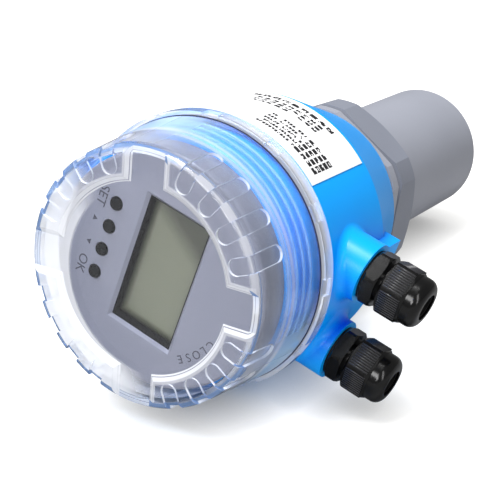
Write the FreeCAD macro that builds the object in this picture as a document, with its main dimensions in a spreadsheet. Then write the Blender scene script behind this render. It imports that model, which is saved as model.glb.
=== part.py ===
"""Ultrasonic water level indicator: clear screw cover, blue housing, two cable glands and a grey probe.

The origin is the centre of the probe's flat face, +Z runs up the instrument's axis and +Y points the way the
cable glands leave. Lengths are millimetres and angles are degrees.
"""
import FreeCAD, Part
import math
import os
import re
import Sketcher

SIZES = {
    # Running clearances
    "fit_gap": 0.05,
    "seat_gap": 0.3,
    # Probe and its hexagonal collar
    "probe_radius": 24.5,
    "probe_wall": 3.0,
    "probe_edge": 0.8,
    "probe_length": 91.4,
    "face_thickness": 3.0,
    "thread_step": 1.5,
    "thread_length": 18.4,
    "collar_height": 5.8,
    "collar_bevel": 1.0,
    "hex_wall": 5.5,
    "hex_corner_cut": 2.1,
    "hex_turn": 12.3,
    "spigot_radius": 22.0,
    "spigot_wall": 3.0,
    "spigot_height": 13.0,
    "piezo_margin": 2.5,
    "piezo_height": 6.0,
    "potting_drop": 8.4,
    "sensor_seal_offset": 5.0,
    "sensor_seal_thickness": 2.2,
    "lock_nut_wall": 3.0,
    "lock_nut_height": 5.0,
    # Mounting nut and gasket
    "gasket_inset": 0.5,
    "gasket_thickness": 0.6,
    "nut_height": 15.2,
    "nut_bevel": 3.4,
    # Housing
    "shoulder_step": 12.0,
    "shoulder_height": 31.5,
    "shoulder_round": 3.0,
    "drum_radius": 45.0,
    "drum_height": 37.0,
    "drum_edge": 0.8,
    "neck_step": 4.8,
    "neck_height": 18.3,
    "neck_wall": 3.4,
    "floor_thickness": 6.8,
    "floor_wall": 4.0,
    "ledge_height": 25.0,
    "ledge_width": 3.8,
    # Clear cover
    "cover_thread_gap": 0.8,
    "cover_wall": 3.4,
    "cover_taper": 2.6,
    "cover_edge_wall": 3.2,
    "cover_headroom": 5.0,
    "cover_top_thickness": 3.7,
    "cover_edge_round": 3.0,
    "flange_overhang": 1.0,
    "flange_height": 5.0,
    "flange_notch_depth": 1.2,
    "flange_notch_width": 5.6,
    "flange_notch_height": 3.6,
    "flange_notch_count": 12,
    "face_margin": 11.5,
    "face_recess_depth": 1.5,
    "face_recess_slope": 2.0,
    "channel_width": 11.4,
    "channel_turn": 16.0,
    "channel_count": 4,
    "grips_in_row": 4,
    "grip_width": 5.4,
    "grip_depth": 1.0,
    "grip_reach": 6.0,
    "grip_drop": 12.5,
    "grip_pitch": 15.5,
    "cover_seal_offset": 2.2,
    "cover_seal_thickness": 2.0,
    # Display
    "bezel_step": 1.2,
    "bezel_wall": 2.3,
    "bezel_height": 11.0,
    "bezel_thickness": 2.2,
    "bezel_edge": 1.0,
    "bezel_spigot": 4.0,
    "window_side": 16.0,
    "window_height": 23.0,
    "window_shift": 1.0,
    "window_depth": 4.4,
    "window_wall": 1.6,
    "window_bevel": 1.0,
    "lcd_margin": 2.4,
    "lcd_thickness": 4.6,
    "board_gap": 0.5,
    "board_thickness": 1.6,
    # Keys and their switches
    "key_radius": 2.1,
    "key_collar_radius": 3.0,
    "key_collar_height": 1.4,
    "key_stand": 0.8,
    "key_edge": 0.4,
    "key_travel": 0.8,
    "key_rest_gap": 0.18,
    "key_pitch": 8.4,
    "key_shift": -0.8,
    "key_inset": 8.5,
    "switch_width": 6.0,
    "switch_height": 3.0,
    "switch_plunger_radius": 1.6,
    "switch_plunger_height": 0.5,
    # Electronics
    "post_inset": 5.0,
    "post_radius": 3.0,
    "screw_radius": 1.5,
    "screw_depth": 6.0,
    "screw_head_radius": 2.75,
    "screw_head_height": 2.0,
    "screw_slot": 0.8,
    "terminal_pitch": 5.08,
    "terminal_count": 8,
    "terminal_depth": 12.0,
    "terminal_height": 11.4,
    "terminal_entry": 3.2,
    "terminal_entry_depth": 7.0,
    "terminal_entry_height": 3.4,
    "terminal_screw_radius": 1.7,
    "terminal_screw_depth": 4.0,
    "terminal_screw_height": 2.0,
    "terminal_screw_slot": 0.6,
    # Label
    "label_margin": 1.6,
    "label_thickness": 0.2,
    "label_start": 146.0,
    "label_sweep": 84.0,
    # Cable glands
    "gland_spacing": 30.0,
    "gland_drop": 14.7,
    "gland_turn": 14.0,
    "boss_radius": 10.4,
    "boss_stand": 4.5,
    "boss_blend": 3.0,
    "lug_thickness": 5.0,
    "lug_setback": 3.6,
    "lug_drop": 4.6,
    "gland_thread_radius": 7.0,
    "gland_thread_length": 8.0,
    "gland_washer_wall": 1.5,
    "gland_washer_thickness": 0.8,
    "gland_flats": 17.2,
    "gland_corner_cut": 0.3,
    "gland_face_margin": 0.35,
    "gland_hex_height": 4.5,
    "gland_hex_bevel": 0.7,
    "gland_bore_radius": 4.8,
    "gland_tube_radius": 6.6,
    "gland_tube_wall": 0.8,
    "gland_tube_length": 9.0,
    "gland_socket_depth": 7.5,
    "gland_nut_gap": 1.5,
    "gland_nut_hex_height": 8.8,
    "gland_nut_clearance": 0.4,
    "gland_nut_bore_extra": 2.8,
    "gland_dome_height": 5.4,
    "gland_dome_radius": 8.4,
    "gland_dome_round": 3.2,
    "gland_mouth_radius": 4.5,
    "gland_mouth_length": 1.6,
    "cable_radius": 3.5,
    "seal_lip_radius": 6.2,
    "seal_lip_height": 2.0,
    "seal_cone_height": 2.0,
    "seal_recess": 0.8,
}

DERIVED = {
    # Levels up the axis
    "thread_base": "probe_length - thread_length",
    "gasket_top": "probe_length - seat_gap",
    "gasket_base": "gasket_top - gasket_thickness",
    "nut_top": "gasket_base - fit_gap",
    "nut_base": "nut_top - nut_height",
    "housing_base": "probe_length + collar_height",
    "housing_floor": "housing_base + floor_thickness",
    "ledge_top": "housing_base + ledge_height",
    "main_board_top": "ledge_top + board_thickness",
    "drum_base": "housing_base + shoulder_height",
    "drum_top": "drum_base + drum_height",
    "neck_top": "drum_top + neck_height",
    "gland_height": "drum_top - gland_drop",
    "label_base": "drum_base + label_margin",
    "label_top": "drum_top - label_margin",
    "bezel_top": "neck_top + bezel_height",
    "bezel_under": "bezel_top - bezel_thickness",
    "lcd_top": "bezel_top - window_depth",
    "board_top": "lcd_top - lcd_thickness",
    "board_base": "board_top - board_thickness",
    "key_top": "bezel_top + key_stand",
    "key_collar_top": "bezel_under - seat_gap",
    "key_bottom": "board_top + switch_height + switch_plunger_height + key_travel + key_rest_gap",
    "cover_base": "drum_top + seat_gap",
    "cover_ceiling": "key_top + cover_headroom",
    "cover_face": "cover_ceiling + cover_top_thickness",
    # Radii
    "probe_bore": "probe_radius - probe_wall",
    "thread_radius": "probe_radius + thread_step",
    "piezo_radius": "probe_bore - piezo_margin",
    "hex_flats": "2 * (thread_radius + hex_wall)",
    "hex_round_radius": "hex_flats / sqrt(3) - hex_corner_cut",
    "gasket_radius": "hex_flats / 2 - gasket_inset",
    "sensor_seal_radius": "spigot_radius + sensor_seal_offset",
    "lock_nut_flats": "2 * (spigot_radius + lock_nut_wall)",
    "shoulder_radius": "spigot_radius + shoulder_step",
    "floor_radius": "shoulder_radius - floor_wall",
    "neck_radius": "drum_radius - neck_step",
    "cavity_radius": "neck_radius - neck_wall",
    "ledge_radius": "cavity_radius - ledge_width",
    "main_board_radius": "cavity_radius - board_gap",
    "bezel_radius": "cavity_radius + bezel_step",
    "bezel_inner_radius": "cavity_radius - bezel_wall",
    "board_radius": "bezel_inner_radius - board_gap",
    "post_circle_radius": "board_radius - post_inset",
    "window_width": "2 * (bezel_radius - window_side)",
    "key_row": "key_inset - post_circle_radius",
    "cover_bore_radius": "neck_radius + cover_thread_gap",
    "skirt_radius": "cover_bore_radius + cover_wall",
    "cover_edge_radius": "skirt_radius - cover_taper",
    "cover_inner_radius": "cover_edge_radius - cover_edge_wall",
    "flange_radius": "drum_radius + flange_overhang",
    "cover_seal_radius": "cover_bore_radius + cover_seal_offset",
    "seal_groove_depth": "cover_seal_thickness + seat_gap",
    "seal_groove_half": "cover_seal_thickness / 2 + seat_gap",
    "face_recess_radius": "cover_edge_radius - face_margin",
    "channel_lean": "atan(face_recess_slope / face_recess_depth)",
    "grip_start_radius": "cover_edge_radius - grip_reach",
    "boss_reach": "drum_radius + boss_stand",
    "shoulder_slope": "atan((drum_radius - shoulder_radius) / shoulder_height)",
    "shoulder_tangent": "shoulder_round * tan(shoulder_slope / 2)",
    "terminal_length": "terminal_pitch * terminal_count",
    # Heights and radii along a gland's own axis, from the face of its boss
    "gland_hex_top": "gland_washer_thickness + gland_hex_height",
    "gland_tube_top": "gland_hex_top + gland_tube_length",
    "gland_socket_base": "gland_tube_top - gland_socket_depth",
    "gland_nut_base": "gland_hex_top + gland_nut_gap",
    "gland_nut_shoulder": "gland_nut_base + gland_nut_hex_height",
    "gland_nut_tip": "gland_nut_shoulder + gland_dome_height",
    "gland_nut_bore_top": "gland_tube_top + gland_nut_bore_extra",
    "seal_lip_base": "gland_tube_top + seat_gap",
    "seal_lip_top": "seal_lip_base + seal_lip_height",
    "seal_nose": "gland_nut_tip - seal_recess",
    "gland_washer_radius": "gland_thread_radius + gland_washer_wall",
    "gland_round_radius": "gland_flats / sqrt(3) - gland_corner_cut",
    "gland_face_radius": "gland_flats / 2 + gland_face_margin",
    "gland_socket_radius": "gland_tube_radius - gland_tube_wall",
    "gland_nut_bore_radius": "gland_tube_radius + gland_nut_clearance",
}

doc = FreeCAD.newDocument("water_level_indicator")
sheet = doc.addObject("Spreadsheet::Sheet", "sizes")
for row, (alias, number) in enumerate(SIZES.items(), start=1):
    sheet.set(f"A{row}", alias)
    sheet.set(f"B{row}", str(number))
    sheet.setAlias(f"B{row}", alias)
doc.recompute()

parts = []
TOUCH = 1e-6
UPRIGHT = FreeCAD.Vector(0, 0, 1)
KEYS = ("key_set", "key_up", "key_down", "key_ok")
POSTS = (("post_circle_radius", "0"), ("0", "post_circle_radius"), ("-post_circle_radius", "0"),
         ("0", "-post_circle_radius"))


def sized(text):
    """Turns a formula of size names into an expression that reads the sheet."""
    def swap(match):
        word = match.group()
        if word in SIZES:
            return f"sizes.{word}"
        if word in DERIVED:
            return f"({sized(DERIVED[word])})"
        return word
    return re.sub(r"[a-z_]+", swap, str(text))


def value(formula):
    """The present number of a formula."""
    return float(sheet.evalExpression(sized(formula)))


def keep(piece, label):
    """Labels a finished sub-part and lists it for export."""
    piece.Label = label
    parts.append(piece)
    return piece


def place(piece, x="0", y="0", z="0"):
    """Binds a piece's position to the sheet."""
    for axis, formula in zip("xyz", (x, y, z)):
        piece.setExpression(f"Placement.Base.{axis}", sized(formula))


def new_body(name):
    return doc.addObject("PartDesign::Body", name)


def sketch_on(body, role, offset="0"):
    """A sketch on one of the body's origin planes, moved along the plane's normal."""
    sketch = body.newObject("Sketcher::SketchObject", "sketch")
    support = [plane for plane in body.Origin.OriginFeatures if plane.Role == role]
    sketch.AttachmentSupport = [(support[0], "")]
    sketch.MapMode = "FlatFace"
    sketch.setExpression("AttachmentOffset.Base.z", sized(offset))
    return sketch


def pin_down(sketch, kind, references, formula):
    """Adds one dimension to a sketch and binds it to the sheet."""
    index = sketch.addConstraint(Sketcher.Constraint(kind, *references, value(formula)))
    sketch.setExpression(f"Constraints[{index}]", sized(formula))


def arc_between(start, end, radius):
    """The short arc from start to end; a positive radius turns left and a negative one turns right."""
    chord = end - start
    rise = math.sqrt(max(radius ** 2 - chord.Length ** 2 / 4, 0.0))
    side = FreeCAD.Vector(-chord.y, chord.x, 0).normalize() * math.copysign(rise, radius)
    centre = (start + end) * 0.5 + side
    first, last = (start, end) if radius > 0 else (end, start)
    angles = [math.atan2(point.y - centre.y, point.x - centre.x) for point in (first, last)]
    circle = Part.Circle(centre, UPRIGHT, abs(radius))
    return Part.ArcOfCircle(circle, angles[0], angles[1])


def outline(sketch, corners):
    """Draws a closed outline. A corner is (x, y), or (x, y, radius) where an arc leads up to it."""
    points = [FreeCAD.Vector(value(corner[0]), value(corner[1]), 0) for corner in corners]
    ends = []
    for index, corner in enumerate(corners):
        start, end = points[index - 1], points[index]
        turns_right = False
        if len(corner) == 3:
            radius = value(corner[2])
            turns_right = radius < 0
            edge = sketch.addGeometry(arc_between(start, end, radius))
            pin_down(sketch, "Radius", (edge,), corner[2].lstrip("-"))
        else:
            edge = sketch.addGeometry(Part.LineSegment(start, end))
        ends.append((edge, 2, 1) if turns_right else (edge, 1, 2))
    for index, corner in enumerate(corners):
        edge, _, tail = ends[index]
        following, head, _ = ends[(index + 1) % len(ends)]
        sketch.addConstraint(Sketcher.Constraint("Coincident", edge, tail, following, head))
        pin_down(sketch, "DistanceX", (-1, 1, edge, tail), corner[0])
        pin_down(sketch, "DistanceY", (-1, 1, edge, tail), corner[1])
    return sketch


def circle(sketch, radius, x="0", y="0"):
    """Draws one circle."""
    middle = FreeCAD.Vector(value(x), value(y), 0)
    edge = sketch.addGeometry(Part.Circle(middle, UPRIGHT, value(radius)))
    pin_down(sketch, "Radius", (edge,), radius)
    pin_down(sketch, "DistanceX", (-1, 1, edge, 3), x)
    pin_down(sketch, "DistanceY", (-1, 1, edge, 3), y)
    return sketch


def rectangle(sketch, width, height, x="0", y="0"):
    """Draws one rectangle about its centre."""
    signs = ((-1, -1), (1, -1), (1, 1), (-1, 1))
    return outline(sketch, [(f"{x} + {a} * ({width}) / 2", f"{y} + {b} * ({height}) / 2") for a, b in signs])


def turned_rectangle(sketch, near, far, width, turn):
    """Draws a rectangle that lies along a radius at the given turn, from one distance to another."""
    corners = []
    for along, side in ((near, -1), (far, -1), (far, 1), (near, 1)):
        x = f"({along}) * cos({turn}) - {side} * ({width}) / 2 * sin({turn})"
        y = f"({along}) * sin({turn}) + {side} * ({width}) / 2 * cos({turn})"
        corners.append((x, y))
    return outline(sketch, corners)


def hexagon(sketch, flats, turn):
    """Draws a hexagon with one corner at the given turn."""
    across = f"({flats}) / sqrt(3)"
    turns = [f"({turn} + {60 * corner})" for corner in range(6)]
    return outline(sketch, [(f"{across} * cos{angle}", f"{across} * sin{angle}") for angle in turns])


def revolve(body, corners, kind="PartDesign::Revolution", sweep="360"):
    """Turns an outline of radius and height about the body's Z axis."""
    sketch = outline(sketch_on(body, "XZ_Plane"), corners)
    feature = body.newObject(kind, "turned")
    feature.Profile = sketch
    feature.ReferenceAxis = (sketch, ["V_Axis"])
    feature.setExpression("Angle", sized(sweep))
    return settle(body, feature)


def groove(body, corners):
    """Cuts a turned outline away."""
    return revolve(body, corners, "PartDesign::Groove")


def pad(body, sketch, length, back=False, both_ways=False):
    """Raises a sketch to a length."""
    feature = body.newObject("PartDesign::Pad", "pad")
    feature.Profile = sketch
    feature.setExpression("Length", sized(length))
    feature.Reversed = back
    feature.Midplane = both_ways
    return settle(body, feature)


def pocket(body, sketch, length, back=False, lean="0"):
    """Cuts a sketch away to a length, along its normal when back is set, with walls that lean outwards."""
    feature = body.newObject("PartDesign::Pocket", "pocket")
    feature.Profile = sketch
    feature.setExpression("Length", sized(length))
    feature.setExpression("TaperAngle", sized(lean))
    feature.Reversed = back
    return settle(body, feature)


def settle(body, feature):
    """Recomputes and makes sure that a feature changed the body."""
    before = feature.BaseFeature.Shape.Volume if feature.BaseFeature else 0.0
    body.Tip = feature
    doc.recompute()
    if abs(body.Shape.Volume - before) < TOUCH:
        raise RuntimeError(f"{body.Name}: {feature.Name} changed nothing")
    return feature


def round_edges(body, base, wanted, radius):
    """Rounds the edges of a body that a test picks out."""
    feature = body.newObject("PartDesign::Fillet", "rounded")
    feature.Base = (base, edge_names(body, wanted))
    feature.setExpression("Radius", sized(radius))
    return settle(body, feature)


def edge_names(body, wanted):
    """The names of the edges that pass a test of the edge and its faces."""
    shape = body.Shape
    return [f"Edge{index}" for index, edge in enumerate(shape.Edges, start=1)
            if wanted(edge, shape.ancestorsOfType(edge, Part.Face))]


def polar(body, features, count, sweep="360"):
    """Repeats features round the body's Z axis."""
    pattern = body.newObject("PartDesign::PolarPattern", "pattern")
    pattern.Originals = features
    axis = [line for line in body.Origin.OriginFeatures if line.Role == "Z_Axis"]
    pattern.Axis = (axis[0], [""])
    pattern.setExpression("Angle", sized(sweep))
    pattern.setExpression("Occurrences", sized(count))
    return settle(body, pattern)


def ring(name, label, inner, outer, base, height):
    """A flat ring about the Z axis."""
    body = new_body(name)
    top = f"{base} + {height}"
    revolve(body, [(inner, base), (outer, base), (outer, top), (inner, top)])
    return keep(body, label)


def torus(name, label, middle_radius, thickness, z):
    """A round sealing ring about the Z axis."""
    piece = doc.addObject("Part::Torus", name)
    piece.setExpression("Radius1", sized(middle_radius))
    piece.setExpression("Radius2", sized(f"({thickness}) / 2"))
    place(piece, z=z)
    return keep(piece, label)


def cylinder(radius, height, x="0", y="0", z="0"):
    piece = doc.addObject("Part::Cylinder", "cylinder")
    piece.setExpression("Radius", sized(radius))
    piece.setExpression("Height", sized(height))
    place(piece, x, y, z)
    return piece


def block(width, depth, height, x="0", y="0", z="0", turn="0"):
    """A box centred on x and y that stands on z, turned about its own upright middle."""
    piece = doc.addObject("Part::Box", "block")
    piece.setExpression("Length", sized(width))
    piece.setExpression("Width", sized(depth))
    piece.setExpression("Height", sized(height))
    place(piece, f"{x} - (({width}) * cos({turn}) - ({depth}) * sin({turn})) / 2",
          f"{y} - (({width}) * sin({turn}) + ({depth}) * cos({turn})) / 2", z)
    piece.Placement.Rotation = FreeCAD.Rotation(UPRIGHT, value(turn))
    return piece


def fuse(first, second):
    joined = doc.addObject("Part::Fuse", "joined")
    joined.Base = first
    joined.Tool = second
    return joined


def cut(base, tool):
    remainder = doc.addObject("Part::Cut", "remainder")
    remainder.Base = base
    remainder.Tool = tool
    return remainder


def group(name, label, pieces):
    """Like pieces that share one file, each a solid of its own."""
    compound = doc.addObject("Part::Compound", name)
    compound.Links = pieces
    return keep(compound, label)


def hex_block(body, flats, turn, base, height, round_radius, lower_bevel, upper_bevel, face_radius):
    """A hexagon with turned corners and a bevel at each end."""
    top = f"{base} + {height}"
    outside = flats
    pad(body, hexagon(sketch_on(body, "XY_Plane", base), flats, turn), height)
    groove(body, [(face_radius, base), (outside, base), (outside, top), (face_radius, top),
                  (round_radius, f"{top} - {upper_bevel}"), (round_radius, f"{base} + {lower_bevel}")])


def make_sensor_body():
    """Probe, thread, collar and spigot: one moulding, open at the top."""
    body = new_body("sensor_body")
    top = "housing_base + spigot_height"
    revolve(body, [("0", "0"), ("probe_radius - probe_edge", "0"), ("probe_radius", "probe_edge"),
                   ("probe_radius", "thread_base"),
                   ("thread_radius", "thread_base + thread_radius - probe_radius"),
                   ("thread_radius", "housing_base"), ("spigot_radius", "housing_base"),
                   ("spigot_radius", top), ("0", top)])
    hex_block(body, "hex_flats", "hex_turn", "probe_length", "collar_height", "hex_round_radius",
              "collar_bevel", "collar_bevel", "gasket_radius")
    groove(body, [("sensor_seal_radius - sensor_seal_thickness / 2 - fit_gap", "housing_base"),
                  ("sensor_seal_radius - sensor_seal_thickness / 2 - fit_gap",
                   "housing_base - sensor_seal_thickness"),
                  ("sensor_seal_radius + sensor_seal_thickness / 2 + fit_gap",
                   "housing_base - sensor_seal_thickness"),
                  ("sensor_seal_radius + sensor_seal_thickness / 2 + fit_gap", "housing_base")])
    groove(body, [("0", "face_thickness"), ("probe_bore", "face_thickness"), ("probe_bore", "probe_length"),
                  ("spigot_radius - spigot_wall", "probe_length"), ("spigot_radius - spigot_wall", top),
                  ("0", top)])
    keep(body, "sensor_body")


def make_sensor_inside():
    """The ultrasonic disc on the probe's face and the filling behind it."""
    disc = cylinder("piezo_radius", "piezo_height", z="face_thickness")
    keep(disc, "piezo_disc")
    filling = new_body("potting")
    wall = "probe_bore - fit_gap"
    top = "probe_length - potting_drop"
    disc_top = "face_thickness + piezo_height"
    revolve(filling, [("piezo_radius + fit_gap", "face_thickness"), (wall, "face_thickness"), (wall, top),
                      ("0", top), ("0", disc_top), ("piezo_radius + fit_gap", disc_top)])
    keep(filling, "potting")


def make_sensor_fixing():
    """Seal between collar and housing, and the ring nut that holds the sensor from inside."""
    torus("sensor_seal", "sensor_seal", "sensor_seal_radius", "sensor_seal_thickness",
          "housing_base - sensor_seal_thickness / 2")
    nut = new_body("sensor_lock_nut")
    pad(nut, hexagon(sketch_on(nut, "XY_Plane", "housing_floor"), "lock_nut_flats", "0"), "lock_nut_height")
    bore = circle(sketch_on(nut, "XY_Plane", "housing_floor"), "spigot_radius + fit_gap")
    pocket(nut, bore, "lock_nut_height", back=True)
    keep(nut, "sensor_lock_nut")


def make_mounting():
    """Gasket and hexagonal nut that clamp a tank wall or a bracket against the collar."""
    ring("mount_gasket", "mount_gasket", "thread_radius + seat_gap", "gasket_radius", "gasket_base",
         "gasket_thickness")
    nut = new_body("mount_nut")
    hex_block(nut, "hex_flats", "hex_turn", "nut_base", "nut_height", "hex_round_radius", "nut_bevel",
              "collar_bevel", "gasket_radius")
    bore = circle(sketch_on(nut, "XY_Plane", "nut_base"), "thread_radius + seat_gap")
    pocket(nut, bore, "nut_height", back=True)
    keep(nut, "mount_nut")


def make_housing():
    """Blue moulding: tapered shoulder, drum, threaded neck and two gland bosses round one cavity."""
    body = new_body("housing")
    revolve(body, [("0", "housing_base"), ("shoulder_radius", "housing_base"),
                   ("drum_radius - shoulder_tangent * sin(shoulder_slope)",
                    "drum_base - shoulder_tangent * cos(shoulder_slope)"),
                   ("drum_radius", "drum_base + shoulder_tangent", "shoulder_round"),
                   ("drum_radius", "drum_top - drum_edge"),
                   ("drum_radius - drum_edge", "drum_top", "drum_edge"),
                   ("neck_radius", "drum_top"), ("neck_radius", "neck_top"), ("0", "neck_top")])
    add_bosses_and_lug(body)
    groove(body, [("0", "housing_base"), ("spigot_radius + fit_gap", "housing_base"),
                  ("spigot_radius + fit_gap", "housing_floor"), ("floor_radius", "housing_floor"),
                  ("ledge_radius", "ledge_top"), ("cavity_radius", "ledge_top"),
                  ("cavity_radius", "neck_top"), ("0", "neck_top")])
    bores = sketch_on(body, "XZ_Plane")
    for side in (-1, 1):
        circle(bores, "gland_thread_radius + fit_gap", f"{side} * gland_spacing / 2", "gland_height")
    pocket(body, bores, "boss_reach + seat_gap")
    keep(body, "housing")


def add_bosses_and_lug(body):
    """Two gland bosses with a blend where each leaves the drum, and a lug below the left one."""
    face = "boss_reach - lug_setback"
    foot = "drum_base - lug_drop"
    lug = sketch_on(body, "YZ_Plane", "-gland_spacing / 2")
    outline(lug, [("cavity_radius", foot), (face, foot), (face, "gland_height"),
                  ("cavity_radius", "gland_height")])
    pad(body, lug, "lug_thickness", both_ways=True)
    bosses = sketch_on(body, "XZ_Plane")
    for side in (-1, 1):
        circle(bosses, "boss_radius", f"{side} * gland_spacing / 2", "gland_height")
    raised = pad(body, bosses, "boss_reach", back=True)
    round_edges(body, raised, is_boss_joint, "boss_blend")


def is_boss_joint(edge, faces):
    """Whether an edge is a curve where a boss meets the drum."""
    radii = [face.Surface.Radius for face in faces if face.Surface.TypeId == "Part::GeomCylinder"]
    wanted = (value("boss_radius"), value("drum_radius"))
    return len(radii) == 2 and all(min(abs(radius - size) for radius in radii) < TOUCH for size in wanted)


def make_cover():
    """Clear screw cap with a notched flange, a recessed cross on its face and finger grips over its edge."""
    body = new_body("cover_blank")
    groove_in = "cover_seal_radius - seal_groove_half"
    groove_out = "cover_seal_radius + seal_groove_half"
    groove_top = "cover_base + seal_groove_depth"
    flange_top = "cover_base + flange_height"
    revolve(body, [("cover_bore_radius", "cover_base"), (groove_in, "cover_base"), (groove_in, groove_top),
                   (groove_out, groove_top), (groove_out, "cover_base"), ("flange_radius", "cover_base"),
                   ("flange_radius", flange_top), ("skirt_radius", flange_top),
                   ("cover_edge_radius", "cover_face - cover_edge_round"),
                   ("cover_edge_radius - cover_edge_round", "cover_face", "cover_edge_round"),
                   ("0", "cover_face"), ("0", "cover_ceiling"), ("cover_inner_radius", "cover_ceiling"),
                   ("cover_bore_radius", "neck_top")])
    floor = "cover_face - face_recess_depth"
    groove(body, [("0", floor), ("face_recess_radius", floor),
                  ("face_recess_radius + face_recess_slope", "cover_face"), ("0", "cover_face")])
    channel = sketch_on(body, "XY_Plane", floor)
    turned_rectangle(channel, "0", "flange_radius", "channel_width", "channel_turn")
    arm = pocket(body, channel, "face_recess_depth", back=True, lean="channel_lean")
    polar(body, [arm], "channel_count")
    notch = sketch_on(body, "XY_Plane", f"{flange_top} - flange_notch_height")
    turned_rectangle(notch, "flange_radius - flange_notch_depth", "flange_radius + flange_notch_depth",
                     "flange_notch_width", "channel_turn")
    slot = pocket(body, notch, "flange_notch_height", back=True)
    polar(body, [slot], "flange_notch_count")
    keep(cut_grips(body), "cover")


def cut_grips(body):
    """Cuts rows of round-ended grips, which run at one depth from the side over the edge into the face."""
    core = new_body("grip_core")
    core_base = "cover_base + flange_height"
    core_top = "cover_face - grip_depth"
    revolve(core, [("0", core_base), ("skirt_radius - grip_depth", core_base),
                   ("cover_edge_radius - grip_depth", "cover_face - cover_edge_round"),
                   ("cover_edge_radius - cover_edge_round", core_top, "cover_edge_round - grip_depth"),
                   ("0", core_top)])
    cutters = []
    for row in range(int(value("channel_count"))):
        row_turn = f"channel_turn + ({row} + 0.5) * 360 / channel_count"
        for step in range(int(value("grips_in_row"))):
            cutters += grip_cutters(f"({row_turn} + ({step} - (grips_in_row - 1) / 2) * grip_pitch)")
    tools = doc.addObject("Part::MultiFuse", "grip_tools")
    tools.Shapes = cutters
    return cut(body, cut(tools, core))


def grip_cutters(turn):
    """The bar and the two round ends of one grip, which stand through the cover's edge at a turn."""
    start = (f"grip_start_radius * cos({turn})", f"grip_start_radius * sin({turn})", "cover_face - grip_drop")
    middle = "(grip_start_radius + flange_radius) / 2"
    reach = "flange_radius - grip_start_radius"
    tall = "grip_drop + grip_depth"
    bar = block(reach, "grip_width", tall, f"{middle} * cos({turn})", f"{middle} * sin({turn})",
                "cover_face - grip_drop", turn)
    face_end = cylinder("grip_width / 2", tall, *start)
    side_end = cylinder("grip_width / 2", reach, *start)
    outward = FreeCAD.Rotation(UPRIGHT, value(turn)).multVec(FreeCAD.Vector(1, 0, 0))
    side_end.Placement.Rotation = FreeCAD.Rotation(UPRIGHT, outward)
    return [bar, face_end, side_end]


def make_cover_seal():
    torus("cover_seal", "cover_seal", "cover_seal_radius", "cover_seal_thickness",
          "cover_base + cover_seal_thickness / 2")


def make_bezel():
    """Grey display cup that stands on the neck, with a walled window and four key holes."""
    body = new_body("bezel")
    spigot_radius = "cavity_radius - fit_gap"
    spigot_base = "neck_top - bezel_spigot"
    revolve(body, [("0", "bezel_top"), ("0", "bezel_under"), ("bezel_inner_radius", "bezel_under"),
                   ("bezel_inner_radius", spigot_base), (spigot_radius, spigot_base),
                   (spigot_radius, "neck_top"), ("bezel_radius", "neck_top"),
                   ("bezel_radius", "bezel_top - bezel_edge"),
                   ("bezel_radius - bezel_edge", "bezel_top", "bezel_edge")])
    well = rectangle(sketch_on(body, "XY_Plane", "lcd_top"), "window_width + 2 * window_wall",
                     "window_height + 2 * window_wall", y="window_shift")
    pad(body, well, "window_depth - bezel_thickness / 2")
    window = rectangle(sketch_on(body, "XY_Plane", "lcd_top"), "window_width", "window_height",
                       y="window_shift")
    opening = pocket(body, window, "window_depth", back=True)
    bevel = body.newObject("PartDesign::Chamfer", "window_bevel")
    bevel.Base = (opening, edge_names(body, is_window_rim))
    bevel.setExpression("Size", sized("window_bevel"))
    settle(body, bevel)
    holes = sketch_on(body, "XY_Plane", "bezel_under")
    for index in range(len(KEYS)):
        circle(holes, "key_radius + seat_gap", key_place(index), "key_row")
    pocket(body, holes, "bezel_thickness", back=True)
    keep(body, "bezel")


def is_window_rim(edge, faces):
    """Whether an edge is one of the four top edges of the window."""
    box = edge.BoundBox
    top = value("bezel_top")
    straight = all(face.Surface.TypeId == "Part::GeomPlane" for face in faces)
    return straight and abs(box.ZMin - top) < TOUCH and abs(box.ZMax - top) < TOUCH


def key_place(index):
    """The formula of a key's X."""
    return f"key_shift + ({index} - {(len(KEYS) - 1) / 2}) * key_pitch"


def make_display():
    """Display panel on its board, with the screws and posts that carry the board."""
    panel = block("window_width + 2 * lcd_margin", "window_height + 2 * lcd_margin", "lcd_thickness",
                  y="window_shift", z="board_top")
    keep(panel, "lcd_panel")
    board = new_body("display_board")
    pad(board, circle(sketch_on(board, "XY_Plane", "board_base"), "board_radius"), "board_thickness")
    holes = sketch_on(board, "XY_Plane", "board_base")
    for x, y in POSTS:
        circle(holes, "screw_radius + fit_gap", x, y)
    pocket(board, holes, "board_thickness", back=True)
    keep(board, "display_board")


def make_posts_and_screws():
    """Four posts between the boards and the four screws in their tops."""
    posts = []
    screws = []
    for x, y in POSTS:
        post = doc.addObject("Part::Prism", "post")
        post.Polygon = 6
        post.setExpression("Circumradius", sized("post_radius"))
        post.setExpression("Height", sized("board_base - main_board_top"))
        place(post, x, y, "main_board_top")
        hole = cylinder("screw_radius + fit_gap", "screw_depth", x, y, "board_base - screw_depth")
        posts.append(cut(post, hole))
        head = cylinder("screw_head_radius", "screw_head_height", x, y, "board_top")
        shank = cylinder("screw_radius", "screw_depth + board_thickness - seat_gap", x, y,
                         "board_base - screw_depth + seat_gap")
        slot = block("2 * screw_head_radius", "screw_slot", "screw_head_height / 2", x, y,
                     "board_top + screw_head_height / 2")
        screws.append(cut(fuse(head, shank), slot))
    group("standoffs", "standoffs", posts)
    group("board_screws", "board_screws", screws)


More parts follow.
